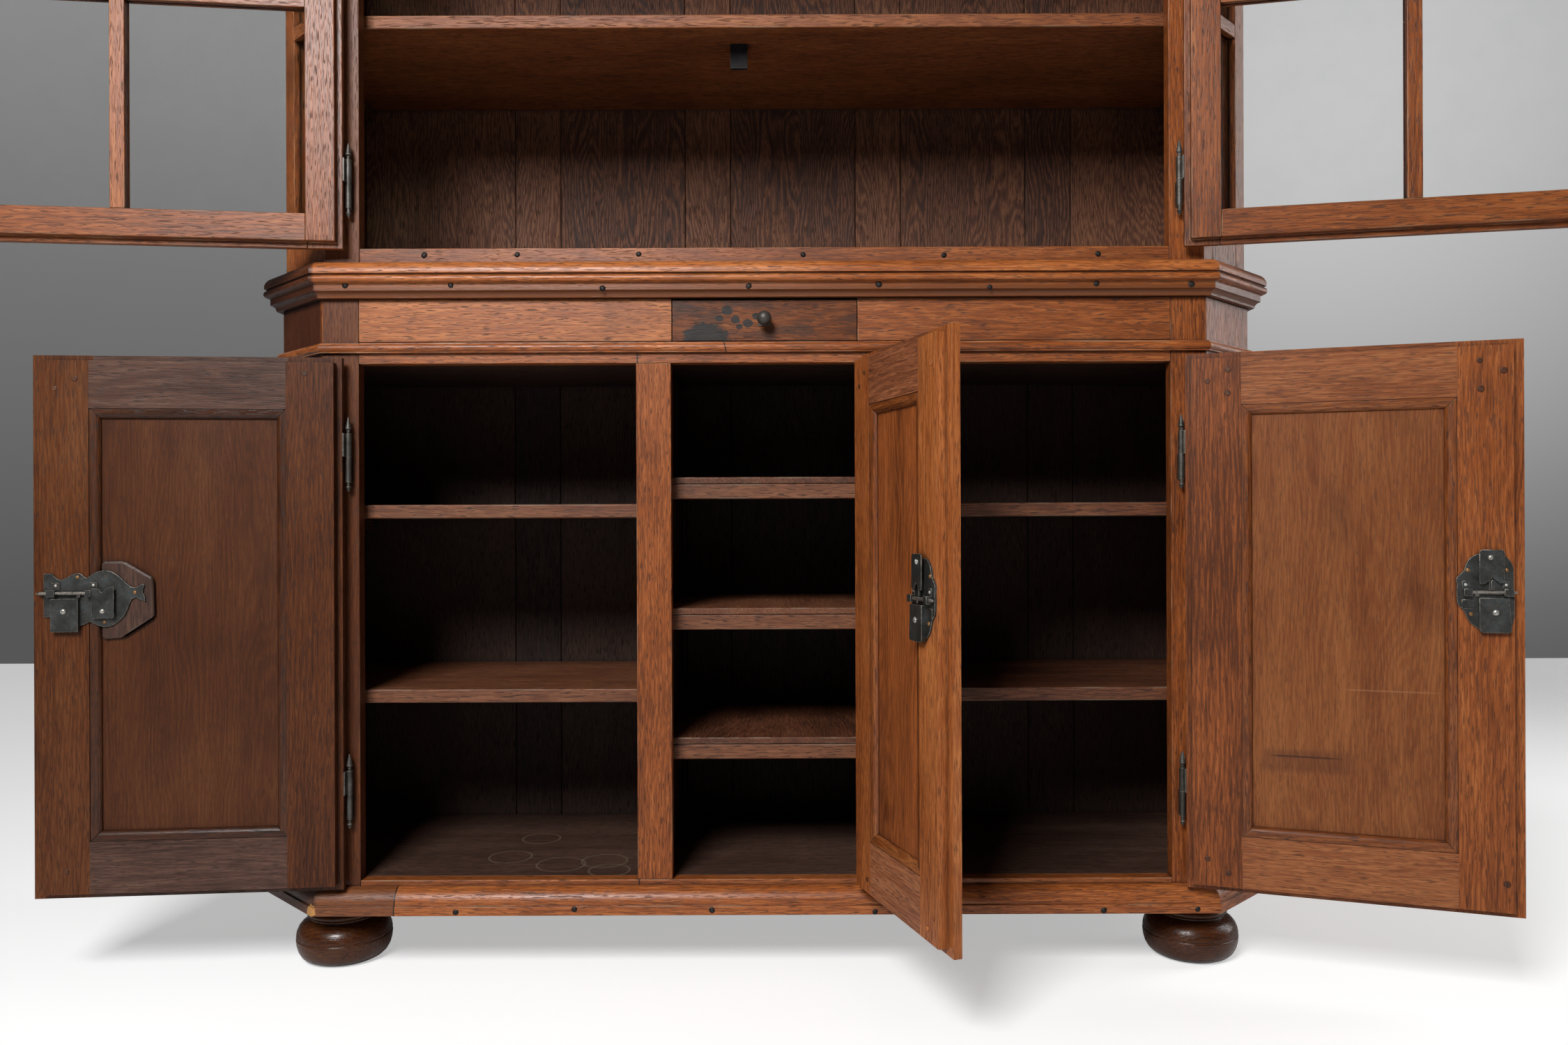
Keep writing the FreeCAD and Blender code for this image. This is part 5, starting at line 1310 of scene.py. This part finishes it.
class CABINET_OT_glass(bpy.types.Operator):
    """Panes of the corner lights and the upper doors"""
    bl_idname = "cabinet.glass"
    bl_label = "Glass"

    def execute(self, context):
        for name in ("corner_light", *UPPER_DOORS):
            frame["nodes"][name + "_glass"].data.materials[0] = FINISHES["glass"]
        return {"FINISHED"}


# Stage

def area_light(name, place, target, size, watts):
    """A rectangular light that faces its target."""
    bpy.ops.object.light_add(type="AREA", location=place)
    light = bpy.context.active_object
    light.name = name
    light.data.shape = "RECTANGLE"
    light.data.size, light.data.size_y = size
    light.data.energy = watts
    light.rotation_euler = (Vector(target) - Vector(place)).to_track_quat("-Z", "Y").to_euler()


class CABINET_OT_stage(bpy.types.Operator):
    """Pale floor, grey surroundings, studio lights and the camera"""
    bl_idname = "cabinet.stage"
    bl_label = "Stage"

    def execute(self, context):
        stage = context.scene.cabinet_stage
        self.ground(context, stage)
        area_light("Key", place=(-0.95, -2.75, 2.5), target=(0.1, 0.0, 0.75), size=(1.1, 1.1), watts=125)
        area_light("Right panel", place=(3.1, 0.2, 1.5), target=(0.6, -0.1, 1.0), size=(1.2, 2.0), watts=34)
        self.surroundings(context)
        self.camera(context, stage)
        return {"FINISHED"}

    def ground(self, context, stage):
        bpy.ops.object.select_all(action="DESELECT")
        bpy.ops.mesh.primitive_plane_add(size=1.0, location=(0.0, -2.6, 0.0))
        floor = context.active_object
        floor.name = "Floor"
        floor.scale = (16.0, 12.2, 1.0)
        bpy.ops.object.transform_apply(location=False, rotation=False, scale=True)
        material, tree, shader = new_material("Pale floor")
        cloud = tree.noise(tree.place(), 1.6, 3.0)
        base = tree.colours(cloud, (0.3, tuple(0.97 * part for part in stage.floor)), (0.7, stage.floor))
        tree.feed(shader.inputs["Base Color"], base)
        seen = tree.add("LightPath").outputs["Is Camera Ray"]
        tree.feed(shader.inputs["Emission Color"], tree.mix(seen, STUDIO_LIGHT, FLOOR_SEEN))
        shader.inputs["Emission Strength"].default_value = 1.0
        shader.inputs["Roughness"].default_value = 0.6
        floor.data.materials.append(material)

    def surroundings(self, context):
        world = bpy.data.worlds.new("Studio")
        world.use_nodes = True
        context.scene.world = world
        tree = Tree(world.node_tree)
        way = tree.add("TexCoord").outputs["Generated"]
        height = tree.add("SeparateXYZ", Vector=way).outputs["Z"]
        grey = tree.colours(tree.ramp(height, *BACKDROP_PLACES, kind="LINEAR"), *BACKDROP_GREYS)
        glow = tree.ramp(tree.vector_math("DISTANCE", way, GLOW_WAY), 0.5, 0.0, 0.0, 0.85)
        grey = tree.mix(glow, grey, GLOW_SEEN)
        path = tree.add("LightPath").outputs
        seen = tree.math("MAXIMUM", path["Is Camera Ray"], path["Is Transmission Ray"])
        background = world.node_tree.nodes["Background"]
        tree.feed(background.inputs["Color"], tree.mix(seen, STUDIO_LIGHT, grey))

    def camera(self, context, stage):
        bpy.ops.object.camera_add(location=stage.camera_place,
                                  rotation=(math.radians(90), stage.camera_roll, 0.0))
        camera = context.active_object
        camera.data.lens = stage.lens
        camera.data.sensor_width = 36.0
        camera.data.clip_end = 60.0
        context.scene.camera = camera
        context.scene.view_settings.view_transform = "Standard"


class CABINET_PT_panel(bpy.types.Panel):
    """Steps of the cabinet and the values they use"""
    bl_idname = "CABINET_PT_panel"
    bl_label = "Vitrine cabinet"
    bl_space_type = "VIEW_3D"
    bl_region_type = "UI"
    bl_category = "Cabinet"

    def draw(self, context):
        for step in STEPS:
            self.layout.operator(step.bl_idname)
        for group in (context.scene.cabinet_sizes, context.scene.oak_colours, context.scene.cabinet_stage):
            column = self.layout.column()
            for name in group.__annotations__:
                column.prop(group, name)


STEPS = (CABINET_OT_finishes, CABINET_OT_carcass, CABINET_OT_mouldings, CABINET_OT_feet, CABINET_OT_doors,
         CABINET_OT_drawer, CABINET_OT_hinges, CABINET_OT_locks, CABINET_OT_pegs, CABINET_OT_nails,
         CABINET_OT_bracket, CABINET_OT_glass, CABINET_OT_stage)
SETTINGS = {"cabinet_sizes": CabinetSizes, "oak_colours": OakColours, "cabinet_stage": StageSettings}


def register():
    """Adds the classes, and the settings to the scene."""
    for kind in (*SETTINGS.values(), *STEPS, CABINET_PT_panel):
        bpy.utils.register_class(kind)
    for name, kind in SETTINGS.items():
        setattr(bpy.types.Scene, name, PointerProperty(type=kind))


def unregister():
    """Takes away what register added."""
    for name in SETTINGS:
        delattr(bpy.types.Scene, name)
    for kind in (CABINET_PT_panel, *reversed(STEPS), *SETTINGS.values()):
        bpy.utils.unregister_class(kind)


def main():
    """Runs every step in order."""
    register()
    for step in STEPS:
        group, name = step.bl_idname.split(".")
        getattr(getattr(bpy.ops, group), name)()


if __name__ == "__main__":
    main()
